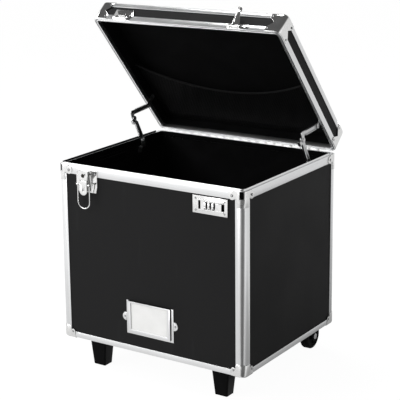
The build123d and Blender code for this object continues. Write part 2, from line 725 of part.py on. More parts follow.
def handle_grip():
    """The cross grip; a socket at each end holds an inner tube."""
    length = 2 * (handle_x + grip_r)
    outline = RectangleRounded(length, 2 * grip_r, grip_r - 0.5)
    grip = extrude(Plane.XY.offset(grip_z0) * outline, grip_h)
    grip = fillet(grip.faces().sort_by(Axis.Z)[-1].edges(), 5)
    gap = Pos(0, 0, grip_z0) * Box(2 * (handle_x - grip_r), 4 * grip_r, 2 * 10)
    grip = Pos(0, handle_y, 0) * (grip - gap)
    for side in (-1, 1):
        grip -= rod("z", inner_tube_r, grip_z0 - 1, grip_z0 + grip_socket, side * handle_x, handle_y)
    width, depth = button_size
    pocket = block(-width / 2 - tube_fit, width / 2 + tube_fit, handle_y - depth / 2 - tube_fit,
                   handle_y + depth / 2 + tube_fit, grip_z0 + grip_h - button_travel - 4, lid_top + 99)
    return grip - pocket


def handle_button():
    width, depth = button_size
    top = grip_z0 + grip_h
    return block(-width / 2, width / 2, handle_y - depth / 2, handle_y + depth / 2,
                 top + button_proud - 6, top + button_proud)


# ---------------------------------------------------------------- key latch
latch_z1 = rim_z - latch_top_drop
latch_z0 = latch_z1 - latch_base[1]
latch_face = front_face - latch_plate_t - latch_box[1]     # front of the raised middle
lever_pivot_z = latch_z1 - latch_lock_h + 2
lever_pivot_y = latch_face - latch_hinge_r - 0.3
lever_y0 = lever_pivot_y - latch_hinge_r
loop_pivot_z = lever_pivot_z - loop_below


def latch_base_plate():
    """The riveted plate, the raised box in its middle and the lever's hinge ears."""
    width, _ = latch_base
    box_w, _ = latch_box
    rim_low = rim_z - rim_h
    plate = block(-width / 2, width / 2, front_face - latch_plate_t, front_face, latch_z0, latch_z1)
    plate += block(-width / 2, width / 2, front_face, board_face, latch_z0, rim_low)
    box = block(-box_w / 2, box_w / 2, latch_face, front_face, latch_z0 + 3, latch_z1)
    hollow = block(-box_w / 2 + skin, box_w / 2 - skin, latch_face + skin, front_face, latch_z0 + 3 + skin,
                   latch_z1 - skin)
    box -= hollow
    for side in (-1, 1):
        edge = side * width / 2
        trim = Pos(edge, 0, latch_z0) * Rot(0, side * 12, 0) * Box(8, 40, 34)
        plate -= Pos(side * 1.5, front_face, 0) * trim
    base = Pos(latch_x, 0, 0) * (plate + box) + latch_lock_housing()
    return base - rod("y", key_r + pin_fit, lever_y0 - 1, latch_face + 5, latch_x, key_z())


def key_z():
    """Height of the key cylinder's axis."""
    return lever_pivot_z + latch_hinge_r + (latch_lock_h - 2 - latch_hinge_r) / 2


def latch_lock_housing():
    """The fixed upper cover with the keyhole; it widens towards the top."""
    half = latch_lock_w / 2
    z0 = lever_pivot_z + latch_hinge_r + 0.3
    low_half = latch_lever_w / 2 + 0.5
    outline = Polyline((-half, latch_z1 + 1), (half, latch_z1 + 1), (half, z0 + 9), (low_half, z0),
                       (-low_half, z0), (-half, z0 + 9), close=True)
    return Pos(latch_x, lever_y0, 0) * extrude(Plane.XZ * make_face(outline), latch_face - lever_y0, dir=(0, 1, 0))


def key_cylinder():
    """The plug with a slot for the key."""
    plug = rod("y", key_r, lever_y0 - 0.4, latch_face + 4, latch_x, key_z())
    slot = block(latch_x - 0.5, latch_x + 0.5, lever_y0 - 1, lever_y0 + 4, key_z() - 2.6, key_z() + 2.6)
    return plug - slot


def latch_lever():
    """The draw lever: hinge tube at the top, narrow blade, rounded tip, pins for the loop."""
    half = latch_lever_w / 2
    tip = lever_pivot_z - latch_lever_h
    blade = block(latch_x - half, latch_x + half, lever_y0, lever_y0 + latch_lever_t, tip + half, lever_pivot_z)
    blade += rod("y", half, lever_y0, lever_y0 + latch_lever_t, latch_x, tip + half)
    blade -= rod("y", latch_eye_r, lever_y0 - 1, lever_y0 + latch_lever_t + 1, latch_x, tip + half)
    tube = rod("x", latch_hinge_r, latch_x - half, latch_x + half, lever_pivot_y, lever_pivot_z)
    reach = loop_half + loop_wire_r
    loop_pin = rod("x", latch_hinge_r, latch_x - half, latch_x + half, lever_pivot_y, loop_pivot_z)
    ends = rod("x", loop_wire_r, latch_x - reach + 0.2, latch_x + reach - 0.2, lever_pivot_y, loop_pivot_z)
    return blade + tube + loop_pin + ends


def latch_loop():
    """The wire bail that hangs from the lever and hooks the lid's catch."""
    top = -loop_wire_r - 1
    low = loop_half - loop_len
    path = Line((-loop_half, top), (-loop_half, low))
    path += RadiusArc((-loop_half, low), (loop_half, low), -loop_half)
    path += Line((loop_half, low), (loop_half, top))
    place = Pos(latch_x, lever_pivot_y, loop_pivot_z)
    start = Pos(-loop_half, 0, top) * Circle(loop_wire_r)
    wire = sweep(start, Plane.XZ * path)
    for side in (-1, 1):
        x = side * loop_half
        eye = rod("x", loop_wire_r + 1.5, x - loop_wire_r, x + loop_wire_r, 0, 0)
        wire = wire + eye - rod("x", loop_wire_r + pin_fit, x - 4, x + 4, 0, 0)
    return place * wire


def lid_catch():
    """The plate on the lid with the hook that the wire loop pulls on."""
    width, height = catch_size
    z0 = rim_z + catch_rise
    half = width / 2
    outline = Polyline((-half + 2, z0), (half - 5, z0), (half, z0 + height * 0.45), (half - 5, z0 + height),
                       (-half, z0 + height), (-half, z0 + 5), close=True)
    depth = skin
    plate = Pos(latch_x, front_face, 0) * extrude(Plane.XZ * make_face(outline), depth, dir=(0, -1, 0))
    pad = block(latch_x - half + 4, latch_x + half - 6, front_face, board_face, rim_z + lid_rim_h, z0 + height - 1)
    hook_w, hook_out = catch_hook
    hook_z = z0 + catch_hook_up
    shelf = block(latch_x - hook_w / 2, latch_x + hook_w / 2, front_face - depth - hook_out, front_face - depth,
                  hook_z, hook_z + skin)
    lip = block(latch_x - hook_w / 2, latch_x + hook_w / 2, front_face - depth - hook_out,
                front_face - depth - hook_out + skin, hook_z, hook_z + 6)
    return swing(plate + pad + shelf + lip)


# ---------------------------------------------------------------- combination lock and hasp
lock_z1 = rim_z - lock_top_drop
lock_z = lock_z1 - lock_plate[1] / 2
lock_face = board_face - lock_plate[2]
bezel_face = lock_face - lock_bezel[2]
dial_y = bezel_face - dial_proud + dial_r


def dial_centre(index):
    return lock_x + dial_x + (index - 1) * dial_pitch


def spindle_ends():
    """The two walls that carry the dials' spindle, by their x."""
    return dial_centre(0) - dial_t / 2 - 1.5, dial_centre(2) + dial_t / 2 + 1.5


def combination_plate():
    """The riveted plate with its raised bezel, dial windows, hasp slot and slide window."""
    width, height, _ = lock_plate
    plate = block(lock_x - width / 2, lock_x + width / 2, lock_face, board_face,
                  lock_z - height / 2, lock_z + height / 2)
    bezel_w, bezel_h, _ = lock_bezel
    plate += block(lock_x - bezel_w / 2, lock_x + bezel_w / 2, bezel_face, lock_face,
                   lock_z - bezel_h / 2, lock_z + bezel_h / 2)
    for index in range(3):
        x = dial_centre(index)
        half = dial_t / 2 + dial_gap
        plate -= rod("x", dial_r + dial_gap, x - half, x + half, dial_y, lock_z)
    ends = spindle_ends()
    plate -= rod("x", dial_axle_r + 0.25, ends[0] - 0.25, ends[1] + 0.25, dial_y, lock_z)
    slot_w, slot_h = slot_size
    x = lock_x + slot_x
    plate -= block(x - slot_w / 2, x + slot_w / 2, bezel_face - 1, board_face + 1,
                   lock_z - slot_h / 2, lock_z + slot_h / 2)
    slide_w, slide_h = slide_size
    x = lock_x + slide_x
    plate -= block(x - slide_w / 2 - 0.3, x + slide_w / 2 + slide_travel + 0.3, bezel_face - 1, board_face + 1,
                   lock_z - slide_h / 2 - 0.3, lock_z + slide_h / 2 + 0.3)
    return plate


def combination_dial(index):
    """One number wheel with shallow finger flutes, on the dials' axle."""
    x = dial_centre(index)
    disc = rod("x", dial_r, x - dial_t / 2, x + dial_t / 2, dial_y, lock_z)
    for step in range(10):
        angle = math.radians(36 * step + 18)
        y = dial_y + (dial_r + 0.5) * math.cos(angle)
        z = lock_z + (dial_r + 0.5) * math.sin(angle)
        disc -= rod("x", 1.0, x - dial_t, x + dial_t, y, z)
    return disc - rod("x", dial_axle_r + pin_fit, x - dial_t, x + dial_t, dial_y, lock_z)


def lock_case():
    """The cover behind the plate; two walls inside it carry the spindle that the dials turn on."""
    y0 = board_face + board_t
    y1 = y0 + lock_case_depth
    case = lock_case_box(y0, y1) - lock_case_box(y0 - 1, y1 - 1.5, -2)
    walls = spindle_ends()
    for x in walls:
        case += block(x - 1, x + 1, board_face, y1, lock_z - 6, lock_z + 6)
    return case + rod("x", dial_axle_r, *walls, dial_y, lock_z)


def lock_slide():
    """The thumb slide that frees the hasp; a foot behind the plate keeps it in."""
    slide_w, slide_h = slide_size
    x = lock_x + slide_x
    knob = block(x - slide_w / 2, x + slide_w / 2, bezel_face - 1.5, board_face + 1, lock_z - slide_h / 2,
                 lock_z + slide_h / 2)
    foot_plate = block(x - slide_w / 2, x + slide_w / 2, board_face + 0.3, board_face + 1.5,
                       lock_z - slide_h / 2 - 1.2, lock_z + slide_h / 2 + 1.2)
    return knob + foot_plate


hasp_x = lock_x + slot_x
hasp_pin_z = rim_z + hasp_rise
hasp_pin_y = front_face - skin - hasp_barrel_r - 0.3
hasp_tongue_z = lock_z + hasp_tongue_up


def hasp_base_plate():
    """Two riveted ears on the lid's rim with the hasp's pin between them."""
    width, height = hasp_base
    z0 = rim_z + seam_gap + 1
    left = hasp_x - hasp_base_left
    plate = block(left, left + width, front_face - skin, front_face, z0, rim_z + lid_rim_h)
    ear_gap = hasp_w / 2 + 0.4
    for side in (-1, 1):
        inner, outer = sorted((hasp_x + side * ear_gap, hasp_x + side * (ear_gap + 2.2)))
        plate += rod("x", hasp_barrel_r, inner, outer, hasp_pin_y, hasp_pin_z)
        plate += block(inner, outer, hasp_pin_y, front_face - skin, hasp_pin_z - 2, hasp_pin_z + 2)
    pin = rod("x", hasp_pin_r, hasp_x - ear_gap - 2.2, hasp_x + ear_gap + 2.2, hasp_pin_y, hasp_pin_z)
    return swing(plate + pin)


def hasp():
    """The swinging arm with the tongue that the lock holds; drawn hanging, then turned up."""
    half = hasp_w / 2
    barrel = rod("x", hasp_barrel_r, hasp_x - half, hasp_x + half, hasp_pin_y, hasp_pin_z)
    y0 = hasp_pin_y - hasp_t / 2 - 0.4
    tip = hasp_tongue_z + 1.2
    neck = hasp_neck_w / 2
    outline = Polyline((-half, hasp_pin_z), (half, hasp_pin_z), (half, hasp_pin_z - 9), (neck, tip + 9), (neck, tip),
                       (-neck, tip), (-neck, tip + 9), (-half, hasp_pin_z - 9), close=True)
    arm = Pos(hasp_x, y0, 0) * extrude(Plane.XZ * make_face(outline), hasp_t, dir=(0, 1, 0))
    arm += rod("y", hasp_end_r, y0, y0 + hasp_t, hasp_x, tip)
    arm += block(hasp_x - 1, hasp_x + 1, y0 - 0.8, y0, tip + 6, hasp_pin_z - 3)
    arm -= rod("y", 1.4, y0 - 1, y0 + hasp_t / 2, hasp_x, tip)
    width, height, depth = hasp_tongue
    tongue = block(hasp_x - width / 2, hasp_x + width / 2, y0 + hasp_t, y0 + hasp_t + depth,
                   hasp_tongue_z - height / 2, hasp_tongue_z + height / 2)
    tongue -= rod("x", 1.1, hasp_x - 5, hasp_x + 5, y0 + hasp_t + depth - 2.2, hasp_tongue_z)
    arm = arm + tongue + barrel - rod("x", hasp_pin_r + pin_fit, hasp_x - 20, hasp_x + 20, hasp_pin_y, hasp_pin_z)
    raised = arm.rotate(Axis((0, hasp_pin_y, hasp_pin_z), (1, 0, 0)), hasp_lean - 180)
    return swing(raised)


# ---------------------------------------------------------------- label holder
def label_holder():
    """A raised frame on a low flange, open at the top, with a riveted ear at each side; and its card."""
    width, height = label_size
    middle = base_z + label_z
    x0 = label_x - width / 2
    x1 = label_x + width / 2
    z0 = middle - height / 2
    z1 = middle + height / 2
    face = board_face - label_t
    frame = block(x0, x1, board_face - label_flange_t, board_face, z0, z1)
    side_w, low_w = label_flange
    side_border, low_border = label_border
    frame += block(x0 + side_w, x1 - side_w, face, board_face, z0 + low_w, z1)
    frame -= block(x0 + side_border, x1 - side_border, face - 1, board_face + 1, z0 + low_border,
                   z1 - label_top_border)
    inside = (x0 + side_w + skin, x1 - side_w - skin)
    frame -= block(*inside, face + label_sheet, board_face + 1, z0 + low_w + skin, z1 + 1)
    for side, edge in ((-1, x0), (1, x1)):
        ear = rod("y", label_ear_r, board_face - skin, board_face, edge + side, middle)
        frame += ear & block(*sorted((edge, edge + side * 20)), face, board_face, z0, z1)
    card_y = face + label_sheet + 0.1
    card = block(*inside, card_y, card_y + card_t, z0 + low_w + skin, z1 - 1)
    return frame, card


# ---------------------------------------------------------------- rivets
def body_rivets():
    """The rivet heads that hold the frame and the fittings on the body."""
    heads = []
    z = rim_z - rivet_drop
    heads += four(rivet("y", -1, front_face - brace_t, half_w - rivet_inset, z))
    heads += four(rivet("x", 1, half_w + brace_t, -half_d + rivet_inset, z))
    low = base_z + base_rail_h
    inset = foot_cap_reach - foot_cap_lobe_r
    heads += four(rivet("y", -1, front_face - brace_t, half_w - inset, low, 2.0, 0.8))
    heads += four(rivet("x", 1, half_w + brace_t, -half_d + inset, low, 2.0, 0.8))
    reach = latch_base[0] / 2 - 4
    for side in (-1, 1):
        heads.append(rivet("y", -1, front_face - latch_plate_t, latch_x + side * reach, latch_z1 - 6))
    rivet_x, rivet_z = lock_rivet
    for sx in (-1, 1):
        for sz in (-1, 1):
            heads.append(rivet("y", -1, lock_face, lock_x + sx * rivet_x / 2, lock_z + sz * rivet_z / 2,
                               lock_rivet_r, 0.9))
    for side in (-1, 1):
        x = label_x + side * (label_size[0] / 2 + label_ear_r / 2)
        heads.append(rivet("y", -1, board_face - skin, x, base_z + label_z, 1.9, 0.9))
    heads += hinge_rivet_row(hinge_z - hinge_leaf_h * 0.62)
    return group(heads)


def lid_rivets():
    """The rivet heads on the lid's corner caps, catch, hasp and hinges."""
    heads = []
    low = rim_z + lid_rim_h / 2 + 1
    high = lid_top - lid_rail_reach + 3
    for z, inset in ((low, cap_reach - 4), (high, cap_reach - 4)):
        heads += four(rivet("y", -1, front_face - brace_t, half_w - inset, z, 2.0, 0.8))
        heads += four(rivet("x", 1, half_w + brace_t, -half_d + inset, z, 2.0, 0.8))
    width, height = catch_size
    for side in (-1, 1):
        heads.append(rivet("y", -1, front_face - skin, latch_x + side * (width / 2 - 6), rim_z + catch_rise + 9, 2.0,
                           0.9))
    right = hasp_x - hasp_base_left + hasp_base[0]
    for x in (hasp_x - hasp_base_left + 3, right - 4, right - 13):
        heads.append(rivet("y", -1, front_face - skin, x, hasp_pin_z + 2, 2.0, 0.9))
    heads += hinge_rivet_row(hinge_z + hinge_leaf_h * 0.62)
    return swing(group(heads))


# ---------------------------------------------------------------- everything, by node
def build():
    nodes = {}
    front, back, left, right = side_boards()
    nodes["front_panel"] = front
    nodes["back_panel"] = back
    nodes["left_panel"] = left
    nodes["right_panel"] = right
    nodes["bottom_panel"] = floor_board()
    nodes["corner_posts"] = corner_posts()
    nodes["bottom_edge_rails"] = bottom_edge_rails()
    nodes["body_rim_rail"] = rim_rail()
    nodes["body_lining"] = body_lining()
    nodes["file_rails"] = file_rails()
    nodes["rim_corner_braces"] = rim_corner_braces()
    nodes["bottom_corner_caps"] = bottom_corner_caps()
    nodes["body_rivets"] = body_rivets()

    top, sides = lid_boards()
    nodes["lid_top_panel"] = swing(top)
    nodes["lid_side_panels"] = swing(sides)
    nodes["lid_top_rail"] = swing(lid_top_rail())
    nodes["lid_rim_rail"] = swing(lid_rim_rail())
    nodes["lid_lining"] = swing(lid_lining())
    nodes["lid_corner_caps"] = swing(lid_corner_caps())
    nodes["lid_rivets"] = lid_rivets()
    nodes["mesh_pocket"] = swing(mesh_pocket())
    nodes["pocket_hem"] = swing(pocket_hem())

    body_leaves, lid_leaves, pins = hinge()
    nodes["hinge_body_leaves"] = body_leaves
    nodes["hinge_lid_leaves"] = swing(lid_leaves)
    nodes["hinge_pins"] = pins
    nodes["right_stay_lower_link"] = stay_lower()
    nodes["right_stay_upper_link"] = stay_upper()
    nodes["left_stay_lower_link"] = mirror(stay_lower(), about=Plane.YZ)
    nodes["left_stay_upper_link"] = mirror(stay_upper(), about=Plane.YZ)
    nodes["stay_body_brackets"] = group(both(stay_body_bracket()))
    nodes["stay_lid_brackets"] = group(both(stay_lid_bracket()))

    for name, side in (("left", -1), ("right", 1)):
        nodes[f"{name}_tyre"], nodes[f"{name}_wheel_hub"] = wheel(side)
    nodes["front_feet"] = group([foot(side) for side in (-1, 1)])
    nodes["wheel_brackets"] = group([wheel_bracket(side) for side in (-1, 1)])
    nodes["wheel_axles"] = group([wheel_axle(side) for side in (-1, 1)])

    nodes["handle_upper_bracket"] = handle_bracket(bracket_top - bracket_h, bracket_top, finger_gap_h - 8)
    nodes["handle_lower_bracket"] = handle_bracket(outer_z0, outer_z0 + bracket_h, 0)
    nodes["handle_outer_tubes"] = tubes(outer_tube_r, outer_z0, bracket_top)
    nodes["handle_middle_tubes"] = tubes(middle_tube_r, middle_z0, bracket_top)
    nodes["handle_inner_tubes"] = tubes(inner_tube_r, middle_z0 + 4, grip_z0 + grip_socket)
    nodes["handle_grip"] = handle_grip()
    nodes["handle_button"] = handle_button()

    nodes["key_latch_base"] = latch_base_plate()
    nodes["key_lock_cylinder"] = key_cylinder()
    nodes["key_latch_lever"] = latch_lever()
    nodes["key_latch_loop"] = latch_loop()
    nodes["lid_catch"] = lid_catch()

    nodes["combination_plate"] = combination_plate()
    for index in range(3):
        nodes[f"combination_dial_{index + 1}"] = combination_dial(index)
    nodes["combination_case"] = lock_case()
    nodes["lock_slide"] = lock_slide()
    nodes["hasp_base"] = hasp_base_plate()
    nodes["hasp"] = hasp()
    nodes["label_frame"], nodes["label_card"] = label_holder()
    return nodes


# ---------------------------------------------------------------- export
def main():
    nodes = build()
    boxes = [shape.bounding_box() for shape in nodes.values()]
    case_y = -(min(box.min.Y for box in boxes) + max(box.max.Y for box in boxes)) / 2
    for name, shape in nodes.items():
        export_step(Pos(0, case_y, 0) * shape, f"parts/{name}.step")
    print("nodes", len(nodes), "moved along Y by", round(case_y, 3))
    print("stay angle", round(stay_angle, 3), "hinge", hinge_y + case_y, hinge_z)


if __name__ == "__main__":
    main()
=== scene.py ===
"""Portable file box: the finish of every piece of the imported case, and the stage it stands on."""

import json
import math
from collections import namedtuple

import bmesh
import bpy
import numpy as np
from bpy.props import FloatProperty, FloatVectorProperty, IntProperty, PointerProperty
from bpy.types import Operator, Panel, PropertyGroup
from mathutils import Matrix, Vector

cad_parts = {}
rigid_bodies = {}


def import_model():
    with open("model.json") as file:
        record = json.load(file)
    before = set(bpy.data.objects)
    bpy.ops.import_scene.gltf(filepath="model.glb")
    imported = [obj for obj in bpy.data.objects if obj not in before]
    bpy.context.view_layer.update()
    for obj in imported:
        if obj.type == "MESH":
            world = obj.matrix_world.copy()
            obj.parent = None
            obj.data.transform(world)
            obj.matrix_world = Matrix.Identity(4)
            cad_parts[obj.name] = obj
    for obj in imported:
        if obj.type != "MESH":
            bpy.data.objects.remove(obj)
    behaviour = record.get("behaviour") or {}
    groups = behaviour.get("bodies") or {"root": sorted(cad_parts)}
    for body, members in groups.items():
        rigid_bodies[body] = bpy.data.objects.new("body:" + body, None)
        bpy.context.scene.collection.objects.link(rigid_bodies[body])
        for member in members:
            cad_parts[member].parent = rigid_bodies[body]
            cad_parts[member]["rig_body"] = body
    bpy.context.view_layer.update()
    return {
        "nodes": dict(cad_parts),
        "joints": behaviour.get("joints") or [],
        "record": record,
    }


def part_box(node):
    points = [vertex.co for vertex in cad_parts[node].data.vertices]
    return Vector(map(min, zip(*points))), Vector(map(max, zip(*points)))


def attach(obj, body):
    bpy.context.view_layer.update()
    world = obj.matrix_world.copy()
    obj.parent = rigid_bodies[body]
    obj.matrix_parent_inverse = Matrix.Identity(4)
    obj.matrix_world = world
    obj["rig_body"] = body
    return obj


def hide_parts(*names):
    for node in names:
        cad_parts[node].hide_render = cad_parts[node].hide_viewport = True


bl_info = {
    "name": "Portable file box",
    "version": (1, 0, 0),
    "blender": (4, 5, 0),
    "location": "View3D > Sidebar > File box",
    "description": "Finishes the pieces of an aluminium framed file box and sets up its stage",
    "category": "Object",
}

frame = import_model()

# ---------------------------------------------------------------- places read from the frame
SLOT_OF = {part["node"]: part["material_slot"] for part in frame["record"]["subparts"]}
LID_SWING = math.radians(next(j for j in frame["joints"] if j["name"] == "lid_hinge")["range_deg"][1])
HINGE = sum(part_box("hinge_pins"), Vector()) / 2
OPEN_LID = Matrix.Translation(HINGE) @ Matrix.Rotation(-LID_SWING, 4, "X") @ Matrix.Translation(-HINGE)
SHUT_LID = OPEN_LID.inverted()
POST_LOW, POST_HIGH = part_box("corner_posts")
RIM_LOW, RIM_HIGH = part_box("body_rim_rail")
CASE_MID = Vector(((POST_LOW.x + POST_HIGH.x) / 2, (POST_LOW.y + POST_HIGH.y) / 2, 0))
HALF_W = (POST_HIGH.x - POST_LOW.x) / 2
HALF_D = (POST_HIGH.y - POST_LOW.y) / 2
CASE_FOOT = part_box("bottom_edge_rails")[0].z

# ---------------------------------------------------------------- edges: the width of each kind's rounding, in metres
TUBE_EDGE = 0.00015
FINE_EDGE = 0.0002
SECTION_EDGE = 0.00025
SHEET_EDGE = 0.0003
PRESSED_EDGE = 0.00035
MOULD_EDGE = 0.0008
THICK_EDGE = 0.0009
SOFT_ANGLE = 32.0  # degrees; a sharper edge than this is rounded
FLAT_ANGLE = 0.4  # degrees; faces that turn less than this are joined up


# ---------------------------------------------------------------- settings
class FileBoxMetal(PropertyGroup):
    """Colours of the metal pieces, and the roundness of their rivets"""

    aluminium: FloatVectorProperty(name="Aluminium", description="Colour of the frame's satin sections",
                                   subtype="COLOR", size=3, min=0, max=1, default=(0.87, 0.875, 0.88))
    nickel: FloatVectorProperty(name="Nickel", description="Colour of the plated corner pieces and locks",
                                subtype="COLOR", size=3, min=0, max=1, default=(0.88, 0.88, 0.875))
    zinc: FloatVectorProperty(name="Zinc", description="Colour of the stays, axles and rivets",
                              subtype="COLOR", size=3, min=0, max=1, default=(0.66, 0.665, 0.67))
    rivet_sides: IntProperty(name="Rivet sides", description="Sides of each rivet's round head",
                             min=8, max=32, default=18)


class FileBoxBoards(PropertyGroup):
    """Colours of the boards, the lining and the card"""

    laminate: FloatVectorProperty(name="Laminate", description="Colour of the grained outer laminate",
                                  subtype="COLOR", size=3, min=0, max=1, default=(0.0120, 0.0120, 0.0124))
    lining: FloatVectorProperty(name="Lining", description="Colour of the flocked lining",
                                subtype="COLOR", size=3, min=0, max=1, default=(0.0022, 0.0022, 0.0024))
    card: FloatVectorProperty(name="Card", description="Colour of the label card",
                              subtype="COLOR", size=3, min=0, max=1, default=(0.86, 0.86, 0.85))
    pebble: FloatProperty(name="Grain size", description="Size of the laminate's pebbles",
                          subtype="DISTANCE", unit="LENGTH", min=0.0002, max=0.003, default=0.0007)


class FileBoxPocket(PropertyGroup):
    """Sizes of the lid pocket's net, hem and stitches"""

    cell: FloatProperty(name="Net cell", description="Distance between the net's meshes",
                        subtype="DISTANCE", unit="LENGTH", min=0.0015, max=0.01, default=0.0036)
    strand: FloatProperty(name="Strand share", description="Share of a cell that its strands fill",
                          subtype="FACTOR", min=0.05, max=0.6, default=0.24)
    gather: FloatProperty(name="Gather pitch", description="Distance between the hem's gathers",
                          subtype="DISTANCE", unit="LENGTH", min=0.001, max=0.01, default=0.0032)
    stitch: FloatProperty(name="Stitch pitch", description="Distance between the hem's stitches",
                          subtype="DISTANCE", unit="LENGTH", min=0.001, max=0.01, default=0.0034)


class FileBoxRunning(PropertyGroup):
    """Sizes of the wheels, feet and tow handle"""

    plastic: FloatVectorProperty(name="Plastic", description="Colour of the black mouldings",
                                 subtype="COLOR", size=3, min=0, max=1, default=(0.0035, 0.0035, 0.0037))
    tyre_steps: IntProperty(name="Tyre steps", description="Faces round each tyre", min=24, max=192, default=96)
    groove: FloatProperty(name="Tread groove", description="Depth of the tyre's grooves",
                          subtype="DISTANCE", unit="LENGTH", min=0.0, max=0.002, default=0.0007)
    ribs: IntProperty(name="Grip ribs", description="Ribs along the handle's grip", min=0, max=60, default=22)


class FileBoxStage(PropertyGroup):
    """Light, floor and camera"""

    floor: FloatVectorProperty(name="Floor", description="Colour of the floor",
                               subtype="COLOR", size=3, min=0, max=1, default=(0.86, 0.86, 0.86))
    key: FloatProperty(name="Key lamp", description="Power of the lamp at the front left",
                       subtype="POWER", unit="POWER", min=0, max=500, default=34.0)
    top: FloatProperty(name="Top lamp", description="Power of the lamp over the lid",
                       subtype="POWER", unit="POWER", min=0, max=500, default=22.0)
    side: FloatProperty(name="Side lamp", description="Power of the lamp at the left",
                        subtype="POWER", unit="POWER", min=0, max=500, default=16.0)
    room: FloatProperty(name="Room light", description="Strength of the light from all round",
                        min=0, max=2, default=0.55)
    ceiling: FloatProperty(name="Ceiling", description="How bright the studio's ceiling looks in polished metal",
                           min=0, max=1, default=0.10)
    lens: FloatProperty(name="Lens", description="Focal length of the camera", subtype="DISTANCE_CAMERA",
                        unit="CAMERA", min=10, max=400, default=119.80)


SETTINGS = {"file_box_metal": FileBoxMetal, "file_box_boards": FileBoxBoards, "file_box_pocket": FileBoxPocket,
            "file_box_running": FileBoxRunning, "file_box_stage": FileBoxStage}


# ---------------------------------------------------------------- node graphs
class Graph:
    """Adds nodes to a tree and joins them in the same call."""

    def __init__(self, tree):
        self.tree = tree

    def add(self, kind, inputs=None, **settings):
        node = self.tree.nodes.new(kind)
        for name, value in settings.items():
            setattr(node, name, value)
        for socket, value in (inputs or {}).items():
            self.put(node.inputs[socket], value)
        return node

    def put(self, socket, value):
        if isinstance(value, bpy.types.Node):
            value = next(output for output in value.outputs if output.enabled)
        if isinstance(value, bpy.types.NodeSocket):
            self.tree.links.new(value, socket)
        else:
            socket.default_value = value

    def maths(self, operation, a, b=0.0):
        return self.add("ShaderNodeMath", {0: a, 1: b}, operation=operation)

    def vectors(self, operation, a, b=(0, 0, 0)):
        return self.add("ShaderNodeVectorMath", {0: a, 1: b}, operation=operation)

    def span(self, value, low, high, to_low=0.0, to_high=1.0):
        """Maps low..high to another range, clamped."""
        return self.add("ShaderNodeMapRange", {"Value": value, "From Min": low, "From Max": high,
                                               "To Min": to_low, "To Max": to_high}).outputs["Result"]

    def level_heading(self, heading):
        """A heading laid level and made one long."""
        return self.vectors("NORMALIZE", self.vectors("MULTIPLY", heading, (1, 1, 0)))


class Finish(Graph):
    """A material with one principled shader, and the parts that its textures are made of."""

    def __init__(self, name, **shader):
        self.material = bpy.data.materials.new(name)
        self.material.use_nodes = True
        super().__init__(self.material.node_tree)
        self.shader = self.tree.nodes["Principled BSDF"]
        for socket, value in shader.items():
            self.shader.inputs[socket.replace("_", " ")].default_value = value

    def place(self, scale=(1, 1, 1), turn=(0, 0, 0), run=False):
        """Coordinates in metres on the object, or along and across its run."""
        if run:
            source = self.add("ShaderNodeUVMap", uv_map="run").outputs["UV"]
        else:
            source = self.add("ShaderNodeTexCoord").outputs["Object"]
        return self.add("ShaderNodeMapping", {"Vector": source, "Scale": scale, "Rotation": turn})

    def noise(self, scale, place=None, detail=3.0, rough=0.5, distortion=0.0):
        return self.add("ShaderNodeTexNoise", {"Vector": place or self.place(), "Scale": scale, "Detail": detail,
                                               "Roughness": rough, "Distortion": distortion}).outputs["Fac"]

    def cells(self, scale, feature="F1"):
        return self.add("ShaderNodeTexVoronoi", {"Vector": self.place(), "Scale": scale},
                        feature=feature).outputs["Distance"]

    def tint(self, share, a, b):
        """A colour between a and b."""
        node = self.add("ShaderNodeMix", {"Factor": share}, data_type="RGBA")
        self.put(node.inputs[6], (*a, 1.0))
        self.put(node.inputs[7], (*b, 1.0))
        return node.outputs[2]

    def bump(self, height, depth, strength):
        return self.add("ShaderNodeBump", {"Height": height, "Distance": depth, "Strength": strength})

    def wear(self, **sockets):
        """Joins the textures to the shader's sockets and gives the finished material."""
        for socket, value in sockets.items():
            self.put(self.shader.inputs[socket.replace("_", " ")], value)
        return self.material


def scaled(colour, factor):
    return tuple(channel * factor for channel in colour)


def grained_laminate():
    """Pebbled black laminate with a soft sheen and faint scuffs."""
    boards = bpy.context.scene.file_box_boards
    finish = Finish("grained_laminate", Specular_IOR_Level=0.10)
    pebbles = finish.cells(1 / boards.pebble, feature="SMOOTH_F1")
    fine = finish.noise(2.2 / boards.pebble, detail=2.0)
    height = finish.maths("ADD", pebbles, finish.maths("MULTIPLY", fine, 0.5))
    patches = finish.noise(9.0, detail=4.0)
    scuffs = finish.noise(60.0, finish.place((1.0, 1.0, 0.12), (0.2, 0.3, 0.5)), detail=6.0, rough=0.65)
    share = finish.maths("MULTIPLY", finish.span(scuffs, 0.62, 0.75), 0.35)
    return finish.wear(
        Base_Color=finish.tint(share, boards.laminate, scaled(boards.laminate, 2.0)),
        Roughness=finish.maths("ADD", finish.span(patches, 0.3, 0.7, 0.44, 0.53),
                              finish.span(pebbles, 0.1, 0.6, 0.0, 0.06)),
        Normal=finish.bump(height, 0.00010, 0.55))


